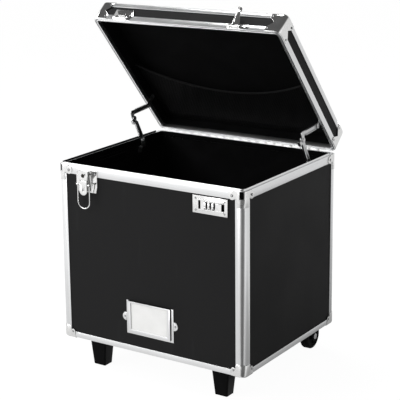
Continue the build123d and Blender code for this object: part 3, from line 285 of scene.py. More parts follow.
def satin_aluminium():
    """Anodised sections with fine lines along their run."""
    metal = bpy.context.scene.file_box_metal
    finish = Finish("satin_aluminium", Metallic=1.0)
    lines = finish.noise(1.0, finish.place((5.0, 2600.0, 1.0), run=True), detail=5.0, rough=0.7)
    broad = finish.noise(1.0, finish.place((2.0, 260.0, 1.0), run=True), detail=2.0)
    cloud = finish.noise(14.0, detail=3.0)
    mixed = finish.maths("ADD", finish.maths("MULTIPLY", lines, 0.6), finish.maths("MULTIPLY", cloud, 0.4))
    tone = finish.span(mixed, 0.3, 0.7)
    return finish.wear(
        Base_Color=finish.tint(tone, scaled(metal.aluminium, 0.94), scaled(metal.aluminium, 1.04)),
        Roughness=finish.maths("ADD", finish.span(lines, 0.3, 0.7, 0.25, 0.32),
                              finish.span(cloud, 0.35, 0.7, 0.0, 0.05)),
        Normal=finish.bump(finish.maths("ADD", lines, broad), 0.000012, 0.5))


def plated_nickel(name="plated_nickel", low=0.06, high=0.12):
    """Bright plating over pressed sheet, with small dents and hairline scratches."""
    metal = bpy.context.scene.file_box_metal
    finish = Finish(name, Metallic=1.0)
    peel = finish.noise(420.0, detail=2.0)
    waves = finish.noise(90.0, detail=1.0)
    scratch = finish.noise(1.0, finish.place((260.0, 260.0, 9000.0), (0.7, 0.4, 0.2)), detail=2.0)
    height = finish.maths("ADD", finish.maths("MULTIPLY", peel, 0.25), waves)
    return finish.wear(
        Base_Color=finish.tint(finish.span(peel, 0.35, 0.7), scaled(metal.nickel, 0.95), scaled(metal.nickel, 1.03)),
        Roughness=finish.maths("ADD", finish.span(waves, 0.3, 0.7, low, high),
                              finish.span(scratch, 0.55, 0.7, 0.0, 0.08)),
        Normal=finish.bump(height, 0.00006, 0.35))


def zinc_steel(name="zinc_steel", rim=False):
    """Dull bright zinc on cut steel, a little blotchy; a rivet head's low rim band is painted dark as painted shade."""
    metal = bpy.context.scene.file_box_metal
    finish = Finish(name, Metallic=1.0)
    spangle = finish.cells(700.0)
    blotch = finish.noise(160.0, detail=4.0)
    grit = finish.noise(2600.0, detail=2.0)
    colour = finish.tint(finish.span(blotch, 0.35, 0.65), scaled(metal.zinc, 0.86), scaled(metal.zinc, 1.05))
    if rim:
        # painted shade: the low band of a rivet head is darkened to a tenth of the zinc colour
        edge = finish.add("ShaderNodeAttribute", attribute_name="head_rim").outputs["Fac"]
        rim_shade_colour = finish.add("ShaderNodeMix", {"Factor": edge}, data_type="RGBA")
        finish.put(rim_shade_colour.inputs[6], colour)
        finish.put(rim_shade_colour.inputs[7], (*scaled(metal.zinc, 0.10), 1.0))
        colour = rim_shade_colour.outputs[2]
    return finish.wear(
        Base_Color=colour,
        Roughness=finish.maths("ADD", finish.span(blotch, 0.3, 0.7, 0.24, 0.36),
                              finish.span(spangle, 0.0, 0.6, 0.0, 0.06)),
        Normal=finish.bump(finish.maths("ADD", grit, spangle), 0.00003, 0.4))


def key_plug():
    """Darkened brass with rings from the tool."""
    finish = Finish("key_plug", Metallic=1.0)
    rings = finish.noise(5200.0, detail=1.0)
    cloud = finish.noise(500.0, detail=3.0)
    return finish.wear(
        Base_Color=finish.tint(cloud, (0.05, 0.048, 0.045), (0.09, 0.085, 0.078)),
        Roughness=finish.span(cloud, 0.3, 0.7, 0.2, 0.32),
        Normal=finish.bump(rings, 0.00002, 0.4))


def flocked_lining():
    """Short black flock: matt, with a slight nap."""
    boards = bpy.context.scene.file_box_boards
    finish = Finish("flocked_lining", Roughness=1.0, Specular_IOR_Level=0.08)
    fibre = finish.noise(3200.0, detail=3.0, rough=0.7)
    nap = finish.noise(22.0, detail=3.0, distortion=0.6)
    share = finish.maths("ADD", finish.maths("MULTIPLY", finish.span(fibre, 0.35, 0.7), 0.6),
                        finish.maths("MULTIPLY", finish.span(nap, 0.4, 0.65), 0.4))
    return finish.wear(
        Base_Color=finish.tint(share, scaled(boards.lining, 0.6), scaled(boards.lining, 1.8)),
        Normal=finish.bump(fibre, 0.00025, 0.7))


def net_thread():
    """Knitted black nylon for the pocket's net."""
    finish = Finish("net_thread", Specular_IOR_Level=0.1)
    twist = finish.noise(5200.0, finish.place((1.0, 1.0, 0.35)), detail=2.0)
    return finish.wear(
        Base_Color=finish.tint(finish.span(twist, 0.3, 0.7), (0.0025, 0.0025, 0.0027), (0.009, 0.009, 0.0095)),
        Roughness=finish.span(twist, 0.3, 0.7, 0.45, 0.7),
        Normal=finish.bump(twist, 0.00012, 0.7))


def elastic_hem():
    """Ribbed elastic binding; the ribs follow the hem's length."""
    finish = Finish("elastic_hem", Specular_IOR_Level=0.1, Sheen_Weight=0.03)
    ribs = finish.add("ShaderNodeTexWave", {"Vector": finish.place(run=True), "Scale": 420.0, "Distortion": 0.4,
                                            "Detail": 1.0}, wave_type="BANDS", bands_direction="Y")
    weave = finish.add("ShaderNodeTexWave", {"Vector": finish.place(run=True), "Scale": 300.0, "Distortion": 0.3},
                       wave_type="BANDS", bands_direction="X")
    height = finish.maths("ADD", ribs.outputs["Fac"], weave.outputs["Fac"])
    return finish.wear(
        Base_Color=finish.tint(finish.span(height, 0.2, 1.8), (0.003, 0.003, 0.0032), (0.012, 0.012, 0.0125)),
        Roughness=finish.span(height, 0.0, 2.0, 0.75, 0.55),
        Normal=finish.bump(height, 0.00018, 0.8))


def moulded_plastic(name, colour, low, high):
    """Moulded plastic with a spark-eroded grain."""
    finish = Finish(name, Specular_IOR_Level=0.03)
    grain = finish.noise(1700.0, detail=3.0, rough=0.6)
    flow = finish.noise(45.0, detail=3.0, distortion=0.5)
    rub = finish.span(finish.noise(130.0, detail=5.0, rough=0.7), 0.58, 0.72)
    return finish.wear(
        Base_Color=finish.tint(finish.maths("MULTIPLY", rub, 0.5), colour, tuple(c * 1.6 + 0.001 for c in colour)),
        Roughness=finish.maths("ADD", finish.span(flow, 0.3, 0.7, low, high), finish.maths("MULTIPLY", rub, 0.08)),
        Normal=finish.bump(grain, 0.00007, 0.5))


def tyre_rubber():
    """Matt wheel rubber with dust in its pores."""
    finish = Finish("tyre_rubber", Specular_IOR_Level=0.12)
    pores = finish.noise(1500.0, detail=4.0, rough=0.7)
    dust = finish.span(finish.noise(110.0, detail=6.0, rough=0.7), 0.5, 0.72)
    return finish.wear(
        Base_Color=finish.tint(finish.maths("MULTIPLY", dust, 0.5), (0.005, 0.005, 0.0052), (0.014, 0.0135, 0.013)),
        Roughness=finish.span(pores, 0.3, 0.7, 0.62, 0.82),
        Normal=finish.bump(pores, 0.00012, 0.6))


def label_paper():
    """Uncoated white card with visible fibres."""
    boards = bpy.context.scene.file_box_boards
    finish = Finish("label_paper", Specular_IOR_Level=0.2)
    fibre = finish.noise(1.0, finish.place((900.0, 900.0, 2600.0), (0.0, 0.3, 0.0)), detail=5.0, rough=0.75)
    cloud = finish.noise(70.0, detail=3.0)
    share = finish.maths("ADD", finish.maths("MULTIPLY", fibre, 0.5), finish.maths("MULTIPLY", cloud, 0.5))
    return finish.wear(
        Base_Color=finish.tint(finish.span(share, 0.35, 0.65), scaled(boards.card, 0.96), scaled(boards.card, 1.02)),
        Roughness=finish.span(fibre, 0.3, 0.7, 0.78, 0.92),
        Normal=finish.bump(fibre, 0.00005, 0.5))


def digit_paint():
    """Matt black filling of the dials' numbers."""
    finish = Finish("digit_paint", Specular_IOR_Level=0.3)
    grit = finish.noise(3000.0, detail=2.0)
    return finish.wear(
        Base_Color=finish.tint(grit, (0.006, 0.006, 0.006), (0.02, 0.02, 0.02)),
        Roughness=finish.span(grit, 0.3, 0.7, 0.5, 0.7))


FINISHES = {
    "laminate": grained_laminate, "aluminium": satin_aluminium, "nickel": plated_nickel, "zinc": zinc_steel,
    # rivet heads carry the painted shade round their rim
    "rivet": lambda: zinc_steel("rivet_steel", rim=True),
    "plug": key_plug, "lining": flocked_lining, "net": net_thread, "hem": elastic_hem,
    "plastic": lambda: moulded_plastic("black_moulding", tuple(bpy.context.scene.file_box_running.plastic), 0.34, 0.46),
    "hub": lambda: moulded_plastic("hub_moulding", (0.012, 0.012, 0.0125), 0.3, 0.42),
    "rubber": tyre_rubber, "paper": label_paper, "paint": digit_paint,
    "hinge_plate": lambda: plated_nickel("hinge_plate", 0.34, 0.42),
    "dull_nickel": lambda: plated_nickel("dull_nickel", 0.18, 0.26),
}
_made = {}


def finish_named(name):
    """The named material, made the first time it is asked for."""
    if name not in _made:
        _made[name] = FINISHES[name]()
    return _made[name]


# ---------------------------------------------------------------- meshes
def settled(obj):
    """Turns an object's evaluated shape into its plain mesh and drops its modifiers."""
    bpy.context.view_layer.update()
    graph = bpy.context.evaluated_depsgraph_get()
    mesh = bpy.data.meshes.new_from_object(obj.evaluated_get(graph), preserve_all_data_layers=True, depsgraph=graph)
    obj.modifiers.clear()
    old = obj.data
    obj.data = mesh
    if old.users == 0:
        bpy.data.meshes.remove(old)
    return obj


def new_piece(name, mesh):
    obj = bpy.data.objects.new(name, mesh)
    bpy.context.scene.collection.objects.link(obj)
    return obj


def from_bmesh(name, bm):
    mesh = bpy.data.meshes.new(name)
    bm.to_mesh(mesh)
    bm.free()
    return new_piece(name, mesh)


def give(obj, finish):
    obj.data.materials.clear()
    obj.data.materials.append(finish_named(finish))
    return obj


def paint_faces(obj, finish, wanted):
    """Gives a second material to the faces that pass a test."""
    obj.data.materials.append(finish_named(finish))
    for face in obj.data.polygons:
        if wanted(face):
            face.material_index = 1
    return obj


def join_to_case(obj, finish, body, slot, *nodes):
    """Finishes a piece: its material, its body, and the nodes it stands for, which it hides; the slot is not used."""
    if finish:
        give(obj, finish)
    if nodes:
        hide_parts(*nodes)
    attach(obj, body)
    return obj


def body_of_node(node):
    return frame["nodes"][node]["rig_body"]


def merged(node, flatten):
    """A bmesh of a CAD node with its loose triangles merged, and its flat faces joined up where that is asked."""
    bm = bmesh.new()
    bm.from_mesh(frame["nodes"][node].data)
    bmesh.ops.remove_doubles(bm, verts=bm.verts, dist=2e-6)
    if flatten:
        bmesh.ops.dissolve_limit(bm, angle_limit=math.radians(FLAT_ANGLE), verts=bm.verts, edges=bm.edges,
                                 use_dissolve_boundaries=False)
        bmesh.ops.triangulate(bm, faces=[face for face in bm.faces if len(face.verts) > 4],
                              quad_method="BEAUTY", ngon_method="BEAUTY")
    return bm


def soften(obj, edge, steps):
    """Rounds the sharp edges and shades the rest smooth."""
    for face in obj.data.polygons:
        face.use_smooth = True
    bevel = obj.modifiers.new("soft_edges", "BEVEL")
    bevel.width = edge
    bevel.segments = steps
    bevel.limit_method = "ANGLE"
    bevel.angle_limit = math.radians(SOFT_ANGLE)
    bevel.use_clamp_overlap = False
    bevel.harden_normals = True
    bevel.miter_outer = "MITER_ARC"
    return settled(obj)


def along_run(obj, on_lid=False, upright=False):
    """Writes the map "run": metres along the section's length, and metres across it."""
    front_shift = 0.37  # so that the lines of the front and of the sides differ
    mesh = obj.data
    layer = mesh.uv_layers.new(name="run")
    back = SHUT_LID if on_lid else Matrix.Identity(4)
    points = [back @ vertex.co - CASE_MID for vertex in mesh.vertices]
    for face in mesh.polygons:
        centre = back @ face.center - CASE_MID
        on_side = HALF_W - abs(centre.x) < HALF_D - abs(centre.y)
        for loop in face.loop_indices:
            p = points[mesh.loops[loop].vertex_index]
            if upright:
                uv = (p.z, abs(p.x) - abs(p.y))
            elif on_side:
                uv = (p.y, p.z + abs(p.x))
            else:
                uv = (p.x + front_shift, p.z + abs(p.y))
            layer.data[loop].uv = uv
    return obj


def finished(node, finish, edge, steps=2):
    """A softened copy of a CAD node that stands for it on the same body; no edge leaves round wire as it is."""
    obj = from_bmesh(node + "_finished", merged(node, edge > 0))
    if edge:
        soften(obj, edge, steps)
    else:
        smooth_shade(obj, SOFT_ANGLE)
    return join_to_case(obj, finish, body_of_node(node), SLOT_OF[node], node)


def finish_all(*rows):
    """Finishes each row's piece: its node, its finish, its edge and the steps of its edge."""
    for node, finish, edge, *steps in rows:
        finished(node, finish, edge, *steps)
    return {"FINISHED"}


def repaint(node, finish):
    """Gives a CAD node that keeps its own mesh its material."""
    obj = frame["nodes"][node]
    if not obj.material_slots:
        obj.data.materials.append(finish_named(finish))
    for slot in obj.material_slots:
        slot.material = finish_named(finish)
    return obj


def solids_of(node):
    """The separate solids of a node, each as a list of its points."""
    bm = merged(node, False)
    left = set(bm.verts)
    found = []
    while left:
        queue = [left.pop()]
        island = []
        while queue:
            vertex = queue.pop()
            island.append(vertex.co.copy())
            for edge in vertex.link_edges:
                other = edge.other_vert(vertex)
                if other in left:
                    left.remove(other)
                    queue.append(other)
        found.append(island)
    bm.free()
    return found


def revolved(name, profile, centre, steps):
    """A closed outline of points (along, radius) turned about the X axis through centre."""
    bm = bmesh.new()
    rings = []
    for step in range(steps):
        angle = 2 * math.pi * step / steps
        ring = []
        for along, radius in profile:
            ring.append(bm.verts.new(centre + Vector((along, radius * math.cos(angle), radius * math.sin(angle)))))
        rings.append(ring)
    count = len(profile)
    for step in range(steps):
        here, there = rings[step], rings[(step + 1) % steps]
        for index in range(count):
            after = (index + 1) % count
            bm.faces.new((here[index], here[after], there[after], there[index]))
    bmesh.ops.remove_doubles(bm, verts=bm.verts, dist=1e-7)
    bmesh.ops.recalc_face_normals(bm, faces=bm.faces)
    return from_bmesh(name, bm)


def round_corners(points, radius, steps):
    """A closed outline with its corners rounded."""
    result = []
    count = len(points)
    for index in range(count):
        before, here, after = (Vector(points[(index + k) % count]) for k in (-1, 0, 1))
        to_before, to_after = (before - here), (after - here)
        cut = min(radius, to_before.length * 0.45, to_after.length * 0.45)
        a, b = here + to_before.normalized() * cut, here + to_after.normalized() * cut
        for step in range(steps + 1):
            t = step / steps
            result.append(tuple(a * (1 - t) ** 2 + here * 2 * t * (1 - t) + b * t * t))
    return result


def smooth_shade(obj, angle):
    for face in obj.data.polygons:
        face.use_smooth = True
    obj.data.set_sharp_from_angle(angle=math.radians(angle))
    return obj


# ---------------------------------------------------------------- geometry node trees
class Maker(Graph):
    """A geometry node tree with a geometry input, named inputs for its sizes, and one output."""

    def __init__(self, name, **sizes):
        tree = bpy.data.node_groups.new(name, "GeometryNodeTree")
        super().__init__(tree)
        tree.interface.new_socket("Geometry", in_out="INPUT", socket_type="NodeSocketGeometry")
        for title, (kind, value) in sizes.items():
            socket = tree.interface.new_socket(title.replace("_", " "), in_out="INPUT", socket_type=kind)
            if value is not None:
                socket.default_value = value
        tree.interface.new_socket("Geometry", in_out="OUTPUT", socket_type="NodeSocketGeometry")
        self.inputs = self.add("NodeGroupInput").outputs

    def named(self, name, kind="FLOAT"):
        return self.add("GeometryNodeInputNamedAttribute", {"Name": name}, data_type=kind).outputs["Attribute"]

    def on_points(self, shape, turn):
        """The shape on each point, as wide and as high as the point's row says."""
        size = self.add("ShaderNodeCombineXYZ", {"X": self.named("head_radius"), "Y": self.named("head_radius"),
                                                 "Z": self.named("head_height")})
        return self.add("GeometryNodeInstanceOnPoints", {"Points": self.inputs["Geometry"], "Instance": shape,
                                                         "Rotation": turn, "Scale": size})

    def upright(self):
        """A turn that stands a shape's Z along the point's facing."""
        return self.add("FunctionNodeAlignRotationToVector", {"Vector": self.named("facing", "FLOAT_VECTOR")},
                        axis="Z")

    def close(self, geometry, smooth=True):
        """Realizes the instances, shades them and sets the material."""
        real = self.add("GeometryNodeRealizeInstances", {"Geometry": geometry})
        shaded = self.add("GeometryNodeSetShadeSmooth", {"Geometry": real, "Shade Smooth": smooth})
        painted = self.add("GeometryNodeSetMaterial", {"Geometry": shaded, "Material": self.inputs["Material"]})
        self.add("NodeGroupOutput", {"Geometry": painted})
        return self.tree


def grown(obj, tree, finish, **sizes):
    """Runs a tree on an object with the given inputs and keeps the result as its plain mesh."""
    modifier = obj.modifiers.new(tree.name, "NODES")
    modifier.node_group = tree
    values = {key.replace("_", " "): value for key, value in sizes.items()}
    values["Material"] = finish_named(finish)
    for item in tree.interface.items_tree:
        if item.item_type == "SOCKET" and item.in_out == "INPUT" and item.name in values:
            modifier[item.identifier] = values.pop(item.name)
    if values:
        raise ValueError(f"{tree.name} has no input named {sorted(values)}")
    return settled(obj)


def point_cloud(name, rows):
    """A mesh of loose points; each row is a place, a direction, a radius and a height."""
    mesh = bpy.data.meshes.new(name)
    mesh.from_pydata([row[0] for row in rows], [], [])
    columns = (("facing", "FLOAT_VECTOR", "vector"), ("head_radius", "FLOAT", "value"),
               ("head_height", "FLOAT", "value"))
    for title, kind, _ in columns:
        mesh.attributes.new(title, kind, "POINT")
    for column, (title, _, field) in enumerate(columns, 1):
        data = mesh.attributes[title].data
        for index, row in enumerate(rows):
            setattr(data[index], field, row[column])
    return new_piece(name, mesh)


def rivet_tree():
    """A low dome with a flat rim on each point, square to its surface; the dome's low band is marked for painted shade.
    """
    tree = Maker("rivet_heads", Sides=("NodeSocketInt", 18), Material=("NodeSocketMaterial", None))
    ball = tree.add("GeometryNodeMeshUVSphere", {"Segments": tree.inputs["Sides"], "Rings": 12, "Radius": 1.0})
    axes = tree.add("ShaderNodeSeparateXYZ", {"Vector": tree.add("GeometryNodeInputPosition")})
    below = tree.add("FunctionNodeCompare", {0: axes.outputs["Z"], 1: -0.02}, data_type="FLOAT", operation="LESS_THAN")
    dome = tree.add("GeometryNodeDeleteGeometry", {"Geometry": ball, "Selection": below}, domain="POINT")
    # the band below this height gets the painted shade round the head
    low = tree.add("FunctionNodeCompare", {0: axes.outputs["Z"], 1: 0.75}, data_type="FLOAT", operation="LESS_THAN")
    shade_marked = tree.add("GeometryNodeStoreNamedAttribute", {"Geometry": dome, "Name": "head_rim", "Value": low},
                      data_type="FLOAT", domain="POINT")
    return tree.close(tree.on_points(shade_marked, tree.upright()))


def rivet_rows(node, on_lid):
    """Place, direction, radius and height of every rivet head in a node."""
    rows = []
    back = SHUT_LID if on_lid else Matrix.Identity(4)
    forth = (OPEN_LID if on_lid else Matrix.Identity(4)).to_3x3()
    for island in solids_of(node):
        square = np.array([list(back @ point) for point in island])
        low, high = square.min(0), square.max(0)
        middle, size = (low + high) / 2, high - low
        axis = int(size.argmin())
        others = [k for k in range(3) if k != axis]
        spread = []
        for end in (low[axis], high[axis]):
            near = square[np.abs(square[:, axis] - end) < 1e-5]
            spread.append(float(np.hypot(*(near[:, others] - middle[others]).T).max()))
        sign = 1.0 if spread[0] > spread[1] else -1.0
        base = middle.copy()
        base[axis] = low[axis] if sign > 0 else high[axis]
        direction = Vector((0, 0, 0))
        direction[axis] = sign
        start = Vector(base)
        rows.append(((OPEN_LID @ start) if on_lid else start, forth @ direction, float(max(size) / 2),
                     float(size[axis])))
    return rows


def cross_head():
    """A low round screw head with a cross-shaped recess, one unit in radius."""
    bm = bmesh.new()
    slot, arm, crown, depth = 0.16, 0.62, 0.95, -0.32
    inner = [(slot, slot), (slot, arm), (-slot, arm), (-slot, slot), (-arm, slot), (-arm, -slot), (-slot, -slot),
             (-slot, -arm), (slot, -arm), (slot, -slot), (arm, -slot), (arm, slot)]
    top = [bm.verts.new((x, y, crown - 0.35 * (x * x + y * y))) for x, y in inner]
    low = [bm.verts.new((x * 0.8, y * 0.8, crown + depth * 1.6)) for x, y in inner]
    rim, foot = [], []
    for x, y in inner:
        angle = math.atan2(y, x)
        rim.append(bm.verts.new((math.cos(angle) * 0.86, math.sin(angle) * 0.86, 0.6)))
        foot.append(bm.verts.new((math.cos(angle), math.sin(angle), 0.0)))
    count = len(inner)
    for index in range(count):
        after = (index + 1) % count
        bm.faces.new((top[index], top[after], low[after], low[index]))
        bm.faces.new((rim[index], rim[after], top[after], top[index]))
        bm.faces.new((foot[index], foot[after], rim[after], rim[index]))
    bm.faces.new(low)
    bmesh.ops.recalc_face_normals(bm, faces=bm.faces)
    if sum(face.normal.z for face in bm.faces) < 0:
        bmesh.ops.reverse_faces(bm, faces=bm.faces)
    return from_bmesh("cross_head", bm)


def screw_tree(head):
    """The screw head on each point, turned at random about its own axis."""
    tree = Maker("screw_heads", Seed=("NodeSocketInt", 7), Material=("NodeSocketMaterial", None))
    shape = tree.add("GeometryNodeObjectInfo", {"Object": head}).outputs["Geometry"]
    turn = tree.add("FunctionNodeRandomValue", {"Seed": tree.inputs["Seed"]}, data_type="FLOAT")
    turn.inputs[2].default_value = 0.0
    turn.inputs[3].default_value = math.pi
    spin = tree.add("FunctionNodeEulerToRotation", {"Euler": tree.add("ShaderNodeCombineXYZ", {"Z": turn.outputs[1]})})
    turned = tree.add("FunctionNodeRotateRotation", {"Rotation": tree.upright(), "Rotate By": spin},
                      rotation_space="LOCAL")
    return tree.close(tree.on_points(shape, turned), smooth=False)


def put_screws(name, places, direction, radius, body, slot):
    """Screws through the tree, at places on a flat face; a head is 0.45 of its radius high."""
    head = cross_head()
    obj = point_cloud(name, [(Vector(place), Vector(direction), radius, radius * 0.45) for place in places])
    grown(obj, screw_tree(head), "zinc")
    mesh = head.data
    bpy.data.objects.remove(head)
    bpy.data.meshes.remove(mesh)
    return join_to_case(obj, None, body, slot)


# ---------------------------------------------------------------- boards, frame and lining
def faces_inside(face):
    """Whether a face of the body's frame looks into the case; on the rim rail these faces get a painted dark
    reflection.
    """
    place = face.center - CASE_MID
    if HALF_W - abs(place.x) < HALF_D - abs(place.y):
        return face.normal.x * place.x < -0.7 * abs(place.x)
    return face.normal.y * place.y < -0.7 * abs(place.y)


class FILEBOX_OT_boards(Operator):
    """Cover the walls, the floor and the lid's boards with grained laminate"""

    bl_idname = "filebox.boards"
    bl_label = "Laminated boards"

    def execute(self, context):
        for node in ("front_panel", "back_panel", "left_panel", "right_panel", "bottom_panel", "lid_top_panel",
                     "lid_side_panels"):
            repaint(node, "laminate")
        return {"FINISHED"}


class FILEBOX_OT_sections(Operator):
    """Finish the aluminium sections of the body and the lid"""

    bl_idname = "filebox.sections"
    bl_label = "Aluminium sections"

    def execute(self, context):
        for node, on_lid, upright, edge in (
                ("corner_posts", False, True, SECTION_EDGE), ("bottom_edge_rails", False, False, SECTION_EDGE),
                ("body_rim_rail", False, False, SHEET_EDGE), ("lid_top_rail", True, False, SECTION_EDGE),
                ("lid_rim_rail", True, False, SHEET_EDGE)):
            obj = finished(node, "aluminium", edge)
            along_run(obj, on_lid, upright)
            if node == "corner_posts":
                # painted shade: the post's faces above the rim rail's lower edge are painted black, so the notches at
                # the rim's corners look dark
                paint_faces(obj, "plastic", lambda face: face.center.z > RIM_LOW.z - 0.0002)
            if node == "body_rim_rail":
                # painted dark reflection: the rail's faces that look into the case are painted with the black lining
                paint_faces(obj, "lining", faces_inside)
        return {"FINISHED"}


class FILEBOX_OT_corner_pieces(Operator):
    """Plate the rim braces, the bottom corner caps and the lid's corner caps"""

    bl_idname = "filebox.corner_pieces"
    bl_label = "Corner pieces"

    def execute(self, context):
        return finish_all(("rim_corner_braces", "dull_nickel", SHEET_EDGE),
                          ("bottom_corner_caps", "dull_nickel", SHEET_EDGE),
                          ("lid_corner_caps", "nickel", SHEET_EDGE))


class FILEBOX_OT_rivets(Operator):
    """Set a domed rivet head on every riveted place of the body and the lid"""

    bl_idname = "filebox.rivets"
    bl_label = "Rivets"

    def execute(self, context):
        sides = context.scene.file_box_metal.rivet_sides
        tree = rivet_tree()
        for node, on_lid in (("body_rivets", False), ("lid_rivets", True)):
            obj = point_cloud(node + "_heads", rivet_rows(node, on_lid))
            grown(obj, tree, "rivet", Sides=sides)
            join_to_case(obj, None, body_of_node(node), SLOT_OF[node], node)
        return {"FINISHED"}


class FILEBOX_OT_lining(Operator):
    """Flock the inside of the body and the lid"""

    bl_idname = "filebox.lining"
    bl_label = "Lining"

    def execute(self, context):
        for node, rests in (("body_lining", ["front_panel", "back_panel", "left_panel", "right_panel", "bottom_panel"]),
                            ("lid_lining", ["lid_top_panel", "lid_side_panels"])):
            obj = finished(node, "lining", SHEET_EDGE)
        return {"FINISHED"}


class FILEBOX_OT_file_rails(Operator):
    """Finish the rails that hanging folders hook on"""

    bl_idname = "filebox.file_rails"
    bl_label = "File rails"

    def execute(self, context):
        return finish_all(("file_rails", "plastic", FINE_EDGE))


# ---------------------------------------------------------------- lid pocket
Mouth = namedtuple("Mouth", "half y_end y_middle z radius")


def mouth_of_pocket():
    """Half the mouth's width, the y of its ends and of its middle, its height and its hem's radius, lid shut."""
    points = np.array([list(SHUT_LID @ v.co) for v in frame["nodes"]["pocket_hem"].data.vertices])
    low, high = points.min(0), points.max(0)
    radius = (high[2] - low[2]) / 2
    ends = points[points[:, 0] > high[0] - 0.0005]
    middle = points[np.abs(points[:, 0]) < 0.02]
    y_end = (ends[:, 1].min() + ends[:, 1].max()) / 2
    y_middle = float(middle[:, 1].max()) - radius
    return Mouth(float(high[0]), float(y_end), y_middle, float((low[2] + high[2]) / 2), float(radius))


def mouth_y(x, mouth):
    """The y of the mouth's arc at x."""
    rise = mouth.y_middle - mouth.y_end
    radius = (mouth.half * mouth.half + rise * rise) / (2 * rise)
    return mouth.y_middle - radius + math.sqrt(max(radius * radius - x * x, 0.0))


def net_tree():
    """Six-sided meshes: a sheared triangle grid turned to its dual, with each face opened."""
    tree = Maker("pocket_net", Width=("NodeSocketFloat", 0.4), Length=("NodeSocketFloat", 0.2),
                 Cell=("NodeSocketFloat", 0.0036), Strand=("NodeSocketFloat", 0.25),
                 Material=("NodeSocketMaterial", None))
    row, lean = 0.866, 0.5774  # a row's height, and its push aside for its height, with sixty degree corners
    ins = tree.inputs
    rows = tree.maths("CEIL", tree.maths("DIVIDE", ins["Length"], tree.maths("MULTIPLY", ins["Cell"], row)))
    shear = tree.maths("MULTIPLY", ins["Length"], lean)
    wide = tree.maths("ADD", ins["Width"], shear)
    columns = tree.maths("CEIL", tree.maths("DIVIDE", wide, ins["Cell"]))
    grid = tree.add("GeometryNodeMeshGrid", {
        "Size X": tree.maths("MULTIPLY", columns, ins["Cell"]),
        "Size Y": tree.maths("MULTIPLY", tree.maths("MULTIPLY", rows, ins["Cell"]), row),
        "Vertices X": tree.maths("ADD", columns, 1.0), "Vertices Y": tree.maths("ADD", rows, 1.0)}).outputs["Mesh"]
    axes = tree.add("ShaderNodeSeparateXYZ", {"Vector": tree.add("GeometryNodeInputPosition")})
    push = tree.add("ShaderNodeCombineXYZ", {"X": tree.maths("MULTIPLY", axes.outputs["Y"], lean)})
    leaning = tree.add("GeometryNodeSetPosition", {"Geometry": grid, "Offset": push})
    triangles = tree.add("GeometryNodeTriangulate", {"Mesh": leaning}, quad_method="FIXED_ALTERNATE")
    cells = tree.add("GeometryNodeDualMesh", {"Mesh": triangles})
    raised = tree.add("GeometryNodeExtrudeMesh", {"Mesh": cells, "Offset Scale": 0.0, "Individual": True}, mode="FACES")
    share = tree.maths("SUBTRACT", 1.0, ins["Strand"])
    opened = tree.add("GeometryNodeScaleElements", {"Geometry": raised.outputs["Mesh"],
                                                    "Selection": raised.outputs["Top"], "Scale": share},
                      domain="FACE")
    holes = tree.add("GeometryNodeDeleteGeometry", {"Geometry": opened, "Selection": raised.outputs["Top"]},
                     domain="FACE")
    return tree.close(holes)


def stitch_tree():
    """A short thread on each point, lying along its direction."""
    tree = Maker("hem_stitches", Length=("NodeSocketFloat", 0.002), Thread=("NodeSocketFloat", 0.0003),
                 Material=("NodeSocketMaterial", None))
    ball = tree.add("GeometryNodeMeshIcoSphere", {"Radius": 0.5, "Subdivisions": 2})
    size = tree.add("ShaderNodeCombineXYZ", {"X": tree.inputs["Thread"], "Y": tree.inputs["Thread"],
                                             "Z": tree.inputs["Length"]})
    threads = tree.add("GeometryNodeInstanceOnPoints", {"Points": tree.inputs["Geometry"], "Instance": ball,
                                                        "Rotation": tree.upright(), "Scale": size})
    return tree.close(threads)


